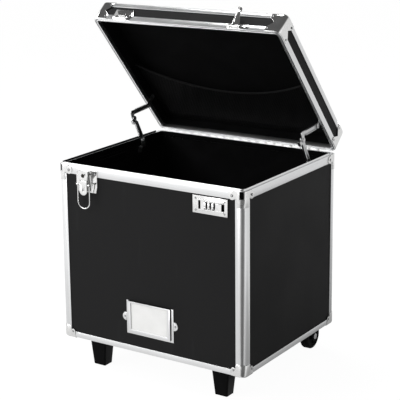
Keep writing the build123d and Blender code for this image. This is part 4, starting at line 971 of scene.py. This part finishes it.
class FILEBOX_OT_pocket(Operator):
    """Hang the lid's net pocket, with its gathered elastic hem and stitches"""

    bl_idname = "filebox.pocket"
    bl_label = "Lid pocket"

    def execute(self, context):
        sizes = context.scene.file_box_pocket
        mouth = mouth_of_pocket()
        net, flat, area = self.hang_net(sizes, mouth)
        hem, places = self.bind_mouth(sizes, mouth)
        stitches = self.stitch(sizes, mouth, places)
        return {"FINISHED"}

    def hang_net(self, sizes, mouth):
        """The net, turned up to the lid's lining at both ends and at the back."""
        points = np.array([list(SHUT_LID @ v.co) for v in frame["nodes"]["mesh_pocket"].data.vertices])
        low, high = points.min(0), points.max(0)
        half, gap, turn = mouth.half, 0.0003, 0.005
        roof, floor_z = float(high[2]), float(low[2]) + 0.0007
        y_back = float(high[1])
        depth = roof - floor_z
        middle_y = (mouth.y_end + y_back) / 2
        length = y_back - mouth.y_end
        net = new_piece("pocket_net", bpy.data.meshes.new("pocket_net"))
        grown(net, net_tree(), "net", Width=2 * (half + depth) + 0.02, Length=length + 2 * depth + 0.03,
              Cell=sizes.cell, Strand=sizes.strand)
        bm = bmesh.new()
        bm.from_mesh(net.data)

        def upturn(distance):
            """In from the edge and up to the roof for a distance measured along the cloth."""
            arc = turn * math.pi / 2
            if distance >= depth - turn + arc + turn:
                return distance - (depth - turn + arc + turn) + turn + turn, 0.0
            if distance <= depth - turn:
                return 0.0, depth - distance
            swept = min(max((distance - (depth - turn)) / arc, 0.0), 1.0) * math.pi / 2
            extra = max(distance - (depth - turn) - arc, 0.0)
            return turn - turn * math.cos(swept) + extra, turn - turn * math.sin(swept)

        spare = depth - turn + turn * math.pi / 2 - turn
        doomed = []
        for vertex in bm.verts:
            x, y = vertex.co.x, vertex.co.y + middle_y + spare / 2
            side_room = half + spare - abs(x)
            back_room = y_back + spare - y
            front = mouth_y(min(abs(x), half), mouth)
            if side_room < -sizes.cell or back_room < -sizes.cell or y < front - sizes.cell:
                doomed.append(vertex)
                continue
            side_in, side_up = upturn(max(side_room, 0.0))
            back_in, back_up = upturn(max(back_room, 0.0))
            up = max(side_up, back_up)
            x_now = math.copysign(half - gap - side_in, x)
            y_now = max(y_back - gap - back_in, front)
            wave = 0.0004 * math.sin(x_now * 210 + y_now * 90) * max(0.0, 1 - up / depth)
            vertex.co = OPEN_LID @ Vector((x_now, y_now, max(floor_z + up + wave, floor_z - 0.0002)))
        bmesh.ops.delete(bm, geom=doomed, context="VERTS")
        bmesh.ops.dissolve_degenerate(bm, dist=1e-5, edges=bm.edges)
        bm.to_mesh(net.data)
        bm.free()
        area = sum(face.area for face in net.data.polygons)
        join_to_case(net, None, "lid", SLOT_OF["mesh_pocket"], "mesh_pocket")
        return net, (2 * (half + depth), length + depth), area

    def bind_mouth(self, sizes, mouth):
        """The hem, an elastic tube with small gathers, and the places along it."""
        half, count, around = mouth.half, int(2 * mouth.half / sizes.gather) * 4, 12
        bm = bmesh.new()
        uv = bm.loops.layers.uv.new("run")
        rings, places = [], []
        for step in range(count + 1):
            x = -half + 2 * half * step / count
            slope = (mouth_y(min(x + 1e-4, half), mouth) - mouth_y(max(x - 1e-4, -half), mouth)) / 2e-4
            tangent = Vector((1, slope, 0)).normalized()
            side = Vector((-tangent.y, tangent.x, 0))
            swell = 0.80 + 0.18 * abs(math.sin(math.pi * x / sizes.gather))
            centre = Vector((x, mouth_y(x, mouth), mouth.z))
            places.append((centre, tangent, side))
            ring = []
            for index in range(around):
                angle = 2 * math.pi * index / around
                aside = side * (mouth.radius * swell * math.cos(angle))
                rise = Vector((0, 0, mouth.radius * swell * 0.9 * math.sin(angle)))
                ring.append(bm.verts.new(OPEN_LID @ (centre + aside + rise)))
            rings.append(ring)
        for step in range(count):
            for index in range(around):
                after = (index + 1) % around
                face = bm.faces.new((rings[step][index], rings[step][after], rings[step + 1][after],
                                     rings[step + 1][index]))
                face.smooth = True
                values = ((step, index), (step, index + 1), (step + 1, index + 1), (step + 1, index))
                for loop, (s, k) in zip(face.loops, values):
                    loop[uv].uv = (2 * half * s / count, 2 * math.pi * mouth.radius * k / around)
        bm.faces.new(rings[0])
        bm.faces.new(rings[-1])
        bmesh.ops.recalc_face_normals(bm, faces=bm.faces)
        hem = join_to_case(from_bmesh("pocket_hem_elastic", bm), "hem", "lid", SLOT_OF["pocket_hem"], "pocket_hem")
        return hem, places

    def stitch(self, sizes, mouth, places):
        """One row of stitches along the hem's lower side."""
        every = max(1, round(sizes.stitch / (2 * mouth.half / (len(places) - 1))))
        rows = []
        for centre, tangent, side in places[2:-2:every]:
            spot = centre + side * mouth.radius * 0.35 + Vector((0, 0, -mouth.radius * 0.82))
            rows.append((OPEN_LID @ spot, OPEN_LID.to_3x3() @ tangent, 0.001, 0.001))
        stitches = point_cloud("pocket_hem_stitches", rows)
        grown(stitches, stitch_tree(), "net", Length=sizes.stitch * 0.62, Thread=0.0005)
        return join_to_case(stitches, None, "lid", SLOT_OF["pocket_hem"])


# ---------------------------------------------------------------- hinges and stays
class FILEBOX_OT_hinges(Operator):
    """Plate the long hinge: its two leaves and its pin"""

    bl_idname = "filebox.hinges"
    bl_label = "Hinge"

    def execute(self, context):
        return finish_all(*((node, "hinge_plate", FINE_EDGE) for node in
                            ("hinge_body_leaves", "hinge_lid_leaves", "hinge_pins")))


class FILEBOX_OT_stays(Operator):
    """Finish the folding stays that hold the lid"""

    bl_idname = "filebox.stays"
    bl_label = "Lid stays"

    def execute(self, context):
        return finish_all(*((node, "zinc", FINE_EDGE) for node in
                            ("left_stay_lower_link", "left_stay_upper_link", "right_stay_lower_link",
                             "right_stay_upper_link", "stay_body_brackets", "stay_lid_brackets")))


# ---------------------------------------------------------------- key latch and catch
class FILEBOX_OT_key_latch(Operator):
    """Plate the key latch: base, lever, wire loop, key plug and the lid's catch"""

    bl_idname = "filebox.key_latch"
    bl_label = "Key latch"

    def execute(self, context):
        return finish_all(("key_latch_base", "nickel", PRESSED_EDGE), ("key_latch_lever", "nickel", PRESSED_EDGE),
                          ("key_latch_loop", "nickel", 0), ("key_lock_cylinder", "plug", TUBE_EDGE),
                          ("lid_catch", "nickel", SHEET_EDGE))


# ---------------------------------------------------------------- combination lock and hasp
_digits = []


def digit_shapes():
    """The corners and faces of the numbers 0 to 9 as thin raised shapes, made once."""
    if _digits:
        return _digits
    texts = []
    for number in range(10):
        curve = bpy.data.curves.new("digit", "FONT")
        curve.body = str(number)
        curve.size = 0.0034
        curve.align_x = "CENTER"
        curve.align_y = "CENTER"
        curve.extrude = 0.00004
        curve.resolution_u = 3
        texts.append(new_piece("digit", curve))
    bpy.context.view_layer.update()
    graph = bpy.context.evaluated_depsgraph_get()
    for obj in texts:
        mesh = obj.evaluated_get(graph).to_mesh()
        _digits.append(([vert.co.copy() for vert in mesh.vertices], [tuple(face.vertices) for face in mesh.polygons]))
        obj.evaluated_get(graph).to_mesh_clear()
    for obj in texts:
        curve = obj.data
        bpy.data.objects.remove(obj)
        bpy.data.curves.remove(curve)
    return _digits


def dial_digits(index):
    """The ten numbers round one dial, as thin raised shapes sunk a little into its rim."""
    sunk, first_apart = 0.00002, 3
    low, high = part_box(f"combination_dial_{index}")
    centre = (low + high) / 2
    radius = (high.z - low.z) / 2
    bm = bmesh.new()
    for number in range(10):
        corners, faces = digit_shapes()[(number + first_apart * index) % 10]
        turn = 2 * math.pi * number / 10
        outward = Vector((0, -math.cos(turn), math.sin(turn)))
        upward = Vector((0, math.sin(turn), math.cos(turn)))
        place = Matrix((Vector((1, 0, 0)), upward, outward)).transposed().to_4x4()
        place.translation = centre + outward * (radius - sunk)
        verts = [bm.verts.new(place @ corner) for corner in corners]
        for face in faces:
            bm.faces.new([verts[at] for at in face])
    return from_bmesh(f"dial_{index}_digits", bm)


class FILEBOX_OT_combination_lock(Operator):
    """Finish the combination lock: plate, numbered dials, slide and cover"""

    bl_idname = "filebox.combination_lock"
    bl_label = "Combination lock"

    def execute(self, context):
        finish_all(("combination_plate", "nickel", SHEET_EDGE), ("combination_case", "plastic", SHEET_EDGE),
                   ("lock_slide", "nickel", SHEET_EDGE))
        for index in (1, 2, 3):
            node = f"combination_dial_{index}"
            wheel = finished(node, "dull_nickel", FINE_EDGE)
            # painted shade: each dial's flat sides are painted black, giving a dark crescent beside it
            paint_faces(wheel, "plastic", lambda face: abs(face.normal.x) > 0.9)
            join_to_case(dial_digits(index), "paint", body_of_node(node), SLOT_OF[node])
        return {"FINISHED"}


class FILEBOX_OT_hasp(Operator):
    """Plate the hasp and its base on the lid"""

    bl_idname = "filebox.hasp"
    bl_label = "Hasp"

    def execute(self, context):
        return finish_all(("hasp_base", "nickel", SHEET_EDGE), ("hasp", "nickel", SHEET_EDGE))


class FILEBOX_OT_label(Operator):
    """Finish the label holder and its card"""

    bl_idname = "filebox.label"
    bl_label = "Label holder"

    def execute(self, context):
        low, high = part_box("label_card")
        border, under, over, sill = 0.014, 0.002, 0.006, 0.003

        def darkened(face):
            """Whether a face is an upright wall of the raised border, or the ledge under the card; these faces are
            painted black as painted shade and painted dark reflection.
            """
            x, _, z = face.center
            if not (low.x - border < x < high.x + border and low.z - under < z < high.z + over):
                return False
            return abs(face.normal.x) > 0.8 or (face.normal.z > 0.8 and z < low.z + sill)

        # painted shade and painted dark reflection: the border's walls and the card's ledge are painted black
        paint_faces(finished("label_frame", "aluminium", SHEET_EDGE), "plastic", darkened)
        repaint("label_card", "paper")
        return {"FINISHED"}


# ---------------------------------------------------------------- feet, wheels and tow handle
class FILEBOX_OT_feet(Operator):
    """Finish the two moulded feet, with the screws in their flanges"""

    bl_idname = "filebox.feet"
    bl_label = "Feet"

    def execute(self, context):
        finished("front_feet", "plastic", THICK_EDGE, 3)
        low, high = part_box("front_feet")
        places = []
        flange_w, flange_d, thick, inset = 0.048, 0.040, 0.0025, 0.0032
        for side in (-1, 1):
            x = side * (high.x - flange_w / 2)
            y = low.y + flange_d / 2
            for sx in (-1, 1):
                for sy in (-1, 1):
                    places.append((x + sx * (flange_w / 2 - inset), y + sy * (flange_d / 2 - inset), high.z - thick))
        head = 0.0018
        put_screws("feet_screws", places, (0, 0, -1), head, "case", "steel")
        return {"FINISHED"}


class FILEBOX_OT_wheels(Operator):
    """Make the grooved tyres and their hubs, and finish the brackets and axles"""

    bl_idname = "filebox.wheels"
    bl_label = "Wheels"

    def execute(self, context):
        running = context.scene.file_box_running
        groove_places, mouth, bed = (-0.0038, 0.0, 0.0038), 0.0007, 0.0004
        for side in ("left", "right"):
            low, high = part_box(f"{side}_tyre")
            centre = (low + high) / 2
            radius = (high.z - low.z) / 2
            half = (high.x - low.x) / 2
            hub_low, hub_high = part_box(f"{side}_wheel_hub")
            seat = (hub_high.z - hub_low.z) / 2
            groove = running.groove
            shoulder = [(half, seat + 0.0002), (half, radius - 0.003), (half - 0.0009, radius - 0.0011),
                        (half - 0.0028, radius)]
            outline = [(-along, out) for along, out in shoulder]
            for x in groove_places:
                outline += [(x - mouth, radius), (x - bed, radius - groove), (x + bed, radius - groove),
                            (x + mouth, radius)]
            outline += reversed(shoulder)
            tyre = revolved(f"{side}_tyre_rubber", round_corners(outline, 0.0002, 2), centre, running.tyre_steps)
            smooth_shade(tyre, 50.0)
            join_to_case(tyre, "rubber", body_of_node(f"{side}_tyre"), SLOT_OF[f"{side}_tyre"], f"{side}_tyre")
            finished(f"{side}_wheel_hub", "hub", 0.0005)
        return finish_all(("wheel_brackets", "plastic", 0.0006), ("wheel_axles", "zinc", 0.0004))


class FILEBOX_OT_tow_handle(Operator):
    """Finish the telescopic tow handle: tubes, brackets, grip and release button"""

    bl_idname = "filebox.tow_handle"
    bl_label = "Tow handle"

    def execute(self, context):
        for node in ("handle_outer_tubes", "handle_middle_tubes", "handle_inner_tubes"):
            along_run(finished(node, "aluminium", TUBE_EDGE), upright=True)
        finish_all(*((node, "plastic", MOULD_EDGE, 3) for node in
                     ("handle_upper_bracket", "handle_lower_bracket", "handle_grip")),
                   ("handle_button", "hub", THICK_EDGE, 3))
        for node in ("handle_upper_bracket", "handle_lower_bracket"):
            low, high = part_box(node)
            aside, face_y, head = 0.036, low.y + 0.006, 0.003
            places = [(side * aside, face_y, (low.z + high.z) / 2) for side in (-1, 1)]
            put_screws(node + "_screws", places, (0, 1, 0), head, "case", "steel")
        self.add_ribs(context.scene.file_box_running)
        return {"FINISHED"}

    def add_ribs(self, running):
        """Raised ribs round the grip, open at the top for the button."""
        pitch, thick, sunk = 0.0042, 0.0006, 0.0001
        corner, below_top, above_foot = 0.004, 0.007, 0.010
        low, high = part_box("handle_grip")
        middle = (low + high) / 2
        half = (high.y - low.y) / 2 - sunk
        under = low.z + above_foot + sunk
        path = [(0, -half, high.z - below_top)]
        for side in (-1, 1):
            for step in range(7):
                turn = math.pi / 2 * (step / 6 if side < 0 else 1 - step / 6)
                path.append((0, side * (half - corner + corner * math.cos(turn)),
                             under + corner - corner * math.sin(turn)))
        path.append((0, half, high.z - below_top))
        curve = bpy.data.curves.new("rib_path", "CURVE")
        curve.dimensions = "3D"
        spline = curve.splines.new("POLY")
        spline.points.add(len(path) - 1)
        for point, place in zip(spline.points, path):
            point.co = (*place, 1.0)
        guide = new_piece("rib_path", curve)
        tree = Maker("grip_ribs", Count=("NodeSocketInt", 20), Pitch=("NodeSocketFloat", 0.004),
                     Thickness=("NodeSocketFloat", 0.0006), Start=("NodeSocketVector", None),
                     Material=("NodeSocketMaterial", None))
        step = tree.add("ShaderNodeCombineXYZ", {"X": tree.inputs["Pitch"]})
        line = tree.add("GeometryNodeMeshLine", {"Count": tree.inputs["Count"], "Start Location": tree.inputs["Start"],
                                                 "Offset": step})
        shape = tree.add("GeometryNodeObjectInfo", {"Object": guide}).outputs["Geometry"]
        ring = tree.add("GeometryNodeCurvePrimitiveCircle", {"Resolution": 8, "Radius": tree.inputs["Thickness"]})
        rib = tree.add("GeometryNodeCurveToMesh", {"Curve": shape, "Profile Curve": ring, "Fill Caps": True})
        ribs = tree.add("GeometryNodeInstanceOnPoints", {"Points": line, "Instance": rib})
        tree.close(ribs)
        start = (-pitch * (running.ribs - 1) / 2, middle.y, 0.0)
        obj = new_piece("grip_ribs", bpy.data.meshes.new("grip_ribs"))
        grown(obj, tree.tree, "plastic", Count=running.ribs, Pitch=pitch, Thickness=thick, Start=start)
        bpy.data.objects.remove(guide)
        bpy.data.curves.remove(curve)
        join_to_case(obj, None, body_of_node("handle_grip"), SLOT_OF["handle_grip"])


# ---------------------------------------------------------------- stage
class FILEBOX_OT_stage(Operator):
    """Lay the pale floor, set the lamps and point the camera"""

    bl_idname = "filebox.stage"
    bl_label = "Stage"

    # each lamp's place, the spot that it lights, and the length of its side
    lamps = (("key", (-1.35, -2.05, 1.55), (0, -0.1, 0.25), 1.7), ("top", (-0.5, 0.45, 2.4), (0, 0.0, 0.5), 0.7),
             ("side", (-1.7, -0.35, 1.55), (0, 0.0, 0.5), 0.5))
    # headings in degrees from the front towards the right, with the spread of the core and of the fading edge
    dark_gap = (33, 20, 48)
    dim_side = (150, 35, 70)

    def execute(self, context):
        stage = context.scene.file_box_stage
        scene = context.scene
        scene.view_settings.view_transform = "Standard"
        self.lay_floor(stage)
        self.light_room(scene, stage)
        for name, place, target, size in self.lamps:
            self.hang_lamp(name + "_lamp", place, target, size, getattr(stage, name))
        self.set_camera(scene, stage)
        return {"FINISHED"}

    @staticmethod
    def sector(graph, flat, degrees, core, edge):
        """One inside a sector of headings, fading to nothing at its edge; degrees from the front to the right."""
        way = math.radians(degrees)
        near = graph.vectors("DOT_PRODUCT", flat, (math.sin(way), -math.cos(way), 0)).outputs["Value"]
        return graph.add("ShaderNodeMapRange", {"Value": near, "From Min": math.cos(math.radians(edge)),
                                                "From Max": math.cos(math.radians(core))},
                         interpolation_type="SMOOTHSTEP").outputs["Result"]

    def surround(self, graph, heading):
        """How bright the studio looks in a mirror, by the heading that the mirror looks to."""
        flat = graph.level_heading(heading)
        side = graph.span(self.sector(graph, flat, *self.dim_side), 0.0, 1.0, 1.0, 0.75)
        return graph.span(self.sector(graph, flat, *self.dark_gap), 0.0, 1.0, side, 0.15)

    def lay_floor(self, stage):
        """A pale floor that keeps the case's shadow, and looks dimmer in the metal close to the case."""
        bm = bmesh.new()
        bmesh.ops.create_grid(bm, x_segments=4, y_segments=4, size=7.0)
        floor = from_bmesh("stage_floor", bm)
        finish = Finish("stage_floor", Roughness=0.9, Specular_IOR_Level=0.0)
        finish.shader.inputs["Base Color"].default_value = (*stage.floor, 1.0)
        path = finish.add("ShaderNodeLightPath")
        spot = finish.vectors("SUBTRACT", finish.place(), (POST_HIGH.x, POST_LOW.y, 0))
        glossy = path.outputs["Is Glossy Ray"]
        past = finish.vectors("SUBTRACT", finish.vectors("ABSOLUTE", finish.place()), (HALF_W, HALF_D, 0))
        beside = finish.vectors("LENGTH", finish.vectors("MAXIMUM", past)).outputs["Value"]
        near = finish.span(self.sector(finish, finish.level_heading(spot), *self.dim_side), 0.0, 1.0, 0.74, 0.42)
        shade = finish.span(beside, 0.05, 1.0, near)
        mirrored = finish.maths("MULTIPLY", self.surround(finish, spot), shade)
        level = finish.span(glossy, 0.0, 1.0, 1.04, mirrored)
        white = finish.add("ShaderNodeEmission", {"Color": (1, 1, 1, 1), "Strength": level})
        plain = 0.93  # the rest of the floor takes light and shadow
        share = finish.maths("MAXIMUM", glossy, finish.maths("MULTIPLY", path.outputs["Is Camera Ray"], plain))
        mix = finish.add("ShaderNodeMixShader", {0: share, 1: finish.shader, 2: white})
        output = next(node for node in finish.tree.nodes if node.type == "OUTPUT_MATERIAL")
        finish.put(output.inputs["Surface"], mix.outputs[0])
        floor.data.materials.append(finish.material)

    def light_room(self, scene, stage):
        """A white studio whose mirror image and soft light are set apart."""
        world = bpy.data.worlds.new("studio")
        scene.world = world
        world.use_nodes = True
        graph = Graph(world.node_tree)
        back = world.node_tree.nodes["Background"]
        heading = graph.add("ShaderNodeTexCoord").outputs["Generated"]
        height = graph.add("ShaderNodeSeparateXYZ", {"Vector": heading}).outputs["Z"]
        ceiling = graph.add("ShaderNodeMapRange", {"Value": height, "From Min": 0.34, "From Max": 0.6,
                                                   "To Min": self.surround(graph, heading), "To Max": stage.ceiling},
                            interpolation_type="SMOOTHSTEP")
        right = graph.vectors("DOT_PRODUCT", heading, (0.94, 0.34, 0)).outputs["Value"]
        soft = graph.span(right, -0.1, 0.9, stage.room, stage.room * 0.4)
        path = graph.add("ShaderNodeLightPath")
        mirrored = graph.span(path.outputs["Is Glossy Ray"], 0.0, 1.0, soft, ceiling)
        graph.put(back.inputs["Strength"], graph.span(path.outputs["Is Camera Ray"], 0.0, 1.0, mirrored, 1.0))
        back.inputs["Color"].default_value = (1, 1, 1, 1)

    def hang_lamp(self, name, place, target, size, power):
        """A square lamp turned to its target."""
        lamp = bpy.data.lights.new(name, "AREA")
        lamp.shape = "SQUARE"
        lamp.size = size
        lamp.energy = power
        obj = new_piece(name, lamp)
        obj.location = place
        obj.rotation_mode = "QUATERNION"
        obj.rotation_quaternion = (Vector(target) - Vector(place)).to_track_quat("-Z", "Y")

    def set_camera(self, scene, stage):
        """The camera, shifted in its frame; the centre of view is in dots of a square image."""
        azimuth, elevation, roll = (math.radians(v) for v in (34.66, 13.67, -0.96))
        aside, up_by, away = -0.0738, 0.31871, 2.52497
        dots, centre_x, centre_y = 400, 161.27, 160.0
        back = Vector((math.sin(azimuth) * math.cos(elevation), -math.cos(azimuth) * math.cos(elevation),
                       math.sin(elevation)))
        right = Vector((math.cos(azimuth), math.sin(azimuth), 0))
        above = back.cross(right)
        right, above = (right * math.cos(roll) + above * math.sin(roll),
                        above * math.cos(roll) - right * math.sin(roll))
        place = right * aside + above * up_by + back * away
        lens = bpy.data.cameras.new("camera")
        lens.lens = stage.lens
        lens.sensor_width = 36.0
        lens.shift_x = (dots / 2 - centre_x) / dots
        lens.shift_y = (centre_y - dots / 2) / dots
        camera = new_piece("camera", lens)
        turn = Matrix((right, above, back)).transposed().to_4x4()
        turn.translation = place + Vector((0, CASE_MID.y, CASE_FOOT))
        camera.matrix_world = turn
        scene.camera = camera


BUILD_ORDER = ("boards", "sections", "corner_pieces", "rivets", "lining", "file_rails", "pocket", "hinges", "stays",
               "key_latch", "combination_lock", "hasp", "label", "feet", "wheels", "tow_handle", "stage")
OPERATORS = (FILEBOX_OT_boards, FILEBOX_OT_sections, FILEBOX_OT_corner_pieces, FILEBOX_OT_rivets, FILEBOX_OT_lining,
             FILEBOX_OT_file_rails, FILEBOX_OT_pocket, FILEBOX_OT_hinges, FILEBOX_OT_stays, FILEBOX_OT_key_latch,
             FILEBOX_OT_combination_lock, FILEBOX_OT_hasp, FILEBOX_OT_label, FILEBOX_OT_feet, FILEBOX_OT_wheels,
             FILEBOX_OT_tow_handle, FILEBOX_OT_stage)


class FILEBOX_PT_panel(Panel):
    """Settings and pieces of the file box"""

    bl_idname = "FILEBOX_PT_panel"
    bl_label = "File box"
    bl_space_type = "VIEW_3D"
    bl_region_type = "UI"
    bl_category = "File box"

    def draw(self, context):
        for name, group in SETTINGS.items():
            box = self.layout.box()
            settings = getattr(context.scene, name)
            for key in group.__annotations__:
                box.prop(settings, key)
        column = self.layout.column(align=True)
        for operator in OPERATORS:
            column.operator(operator.bl_idname)


def register():
    for name, group in SETTINGS.items():
        bpy.utils.register_class(group)
        setattr(bpy.types.Scene, name, PointerProperty(type=group))
    for operator in OPERATORS:
        bpy.utils.register_class(operator)
    bpy.utils.register_class(FILEBOX_PT_panel)


def unregister():
    bpy.utils.unregister_class(FILEBOX_PT_panel)
    for operator in reversed(OPERATORS):
        bpy.utils.unregister_class(operator)
    for name, group in SETTINGS.items():
        delattr(bpy.types.Scene, name)
        bpy.utils.unregister_class(group)


def main():
    """Makes every piece in order."""
    register()
    for step in BUILD_ORDER:
        getattr(bpy.ops.filebox, step)()


if __name__ == "__main__":
    main()
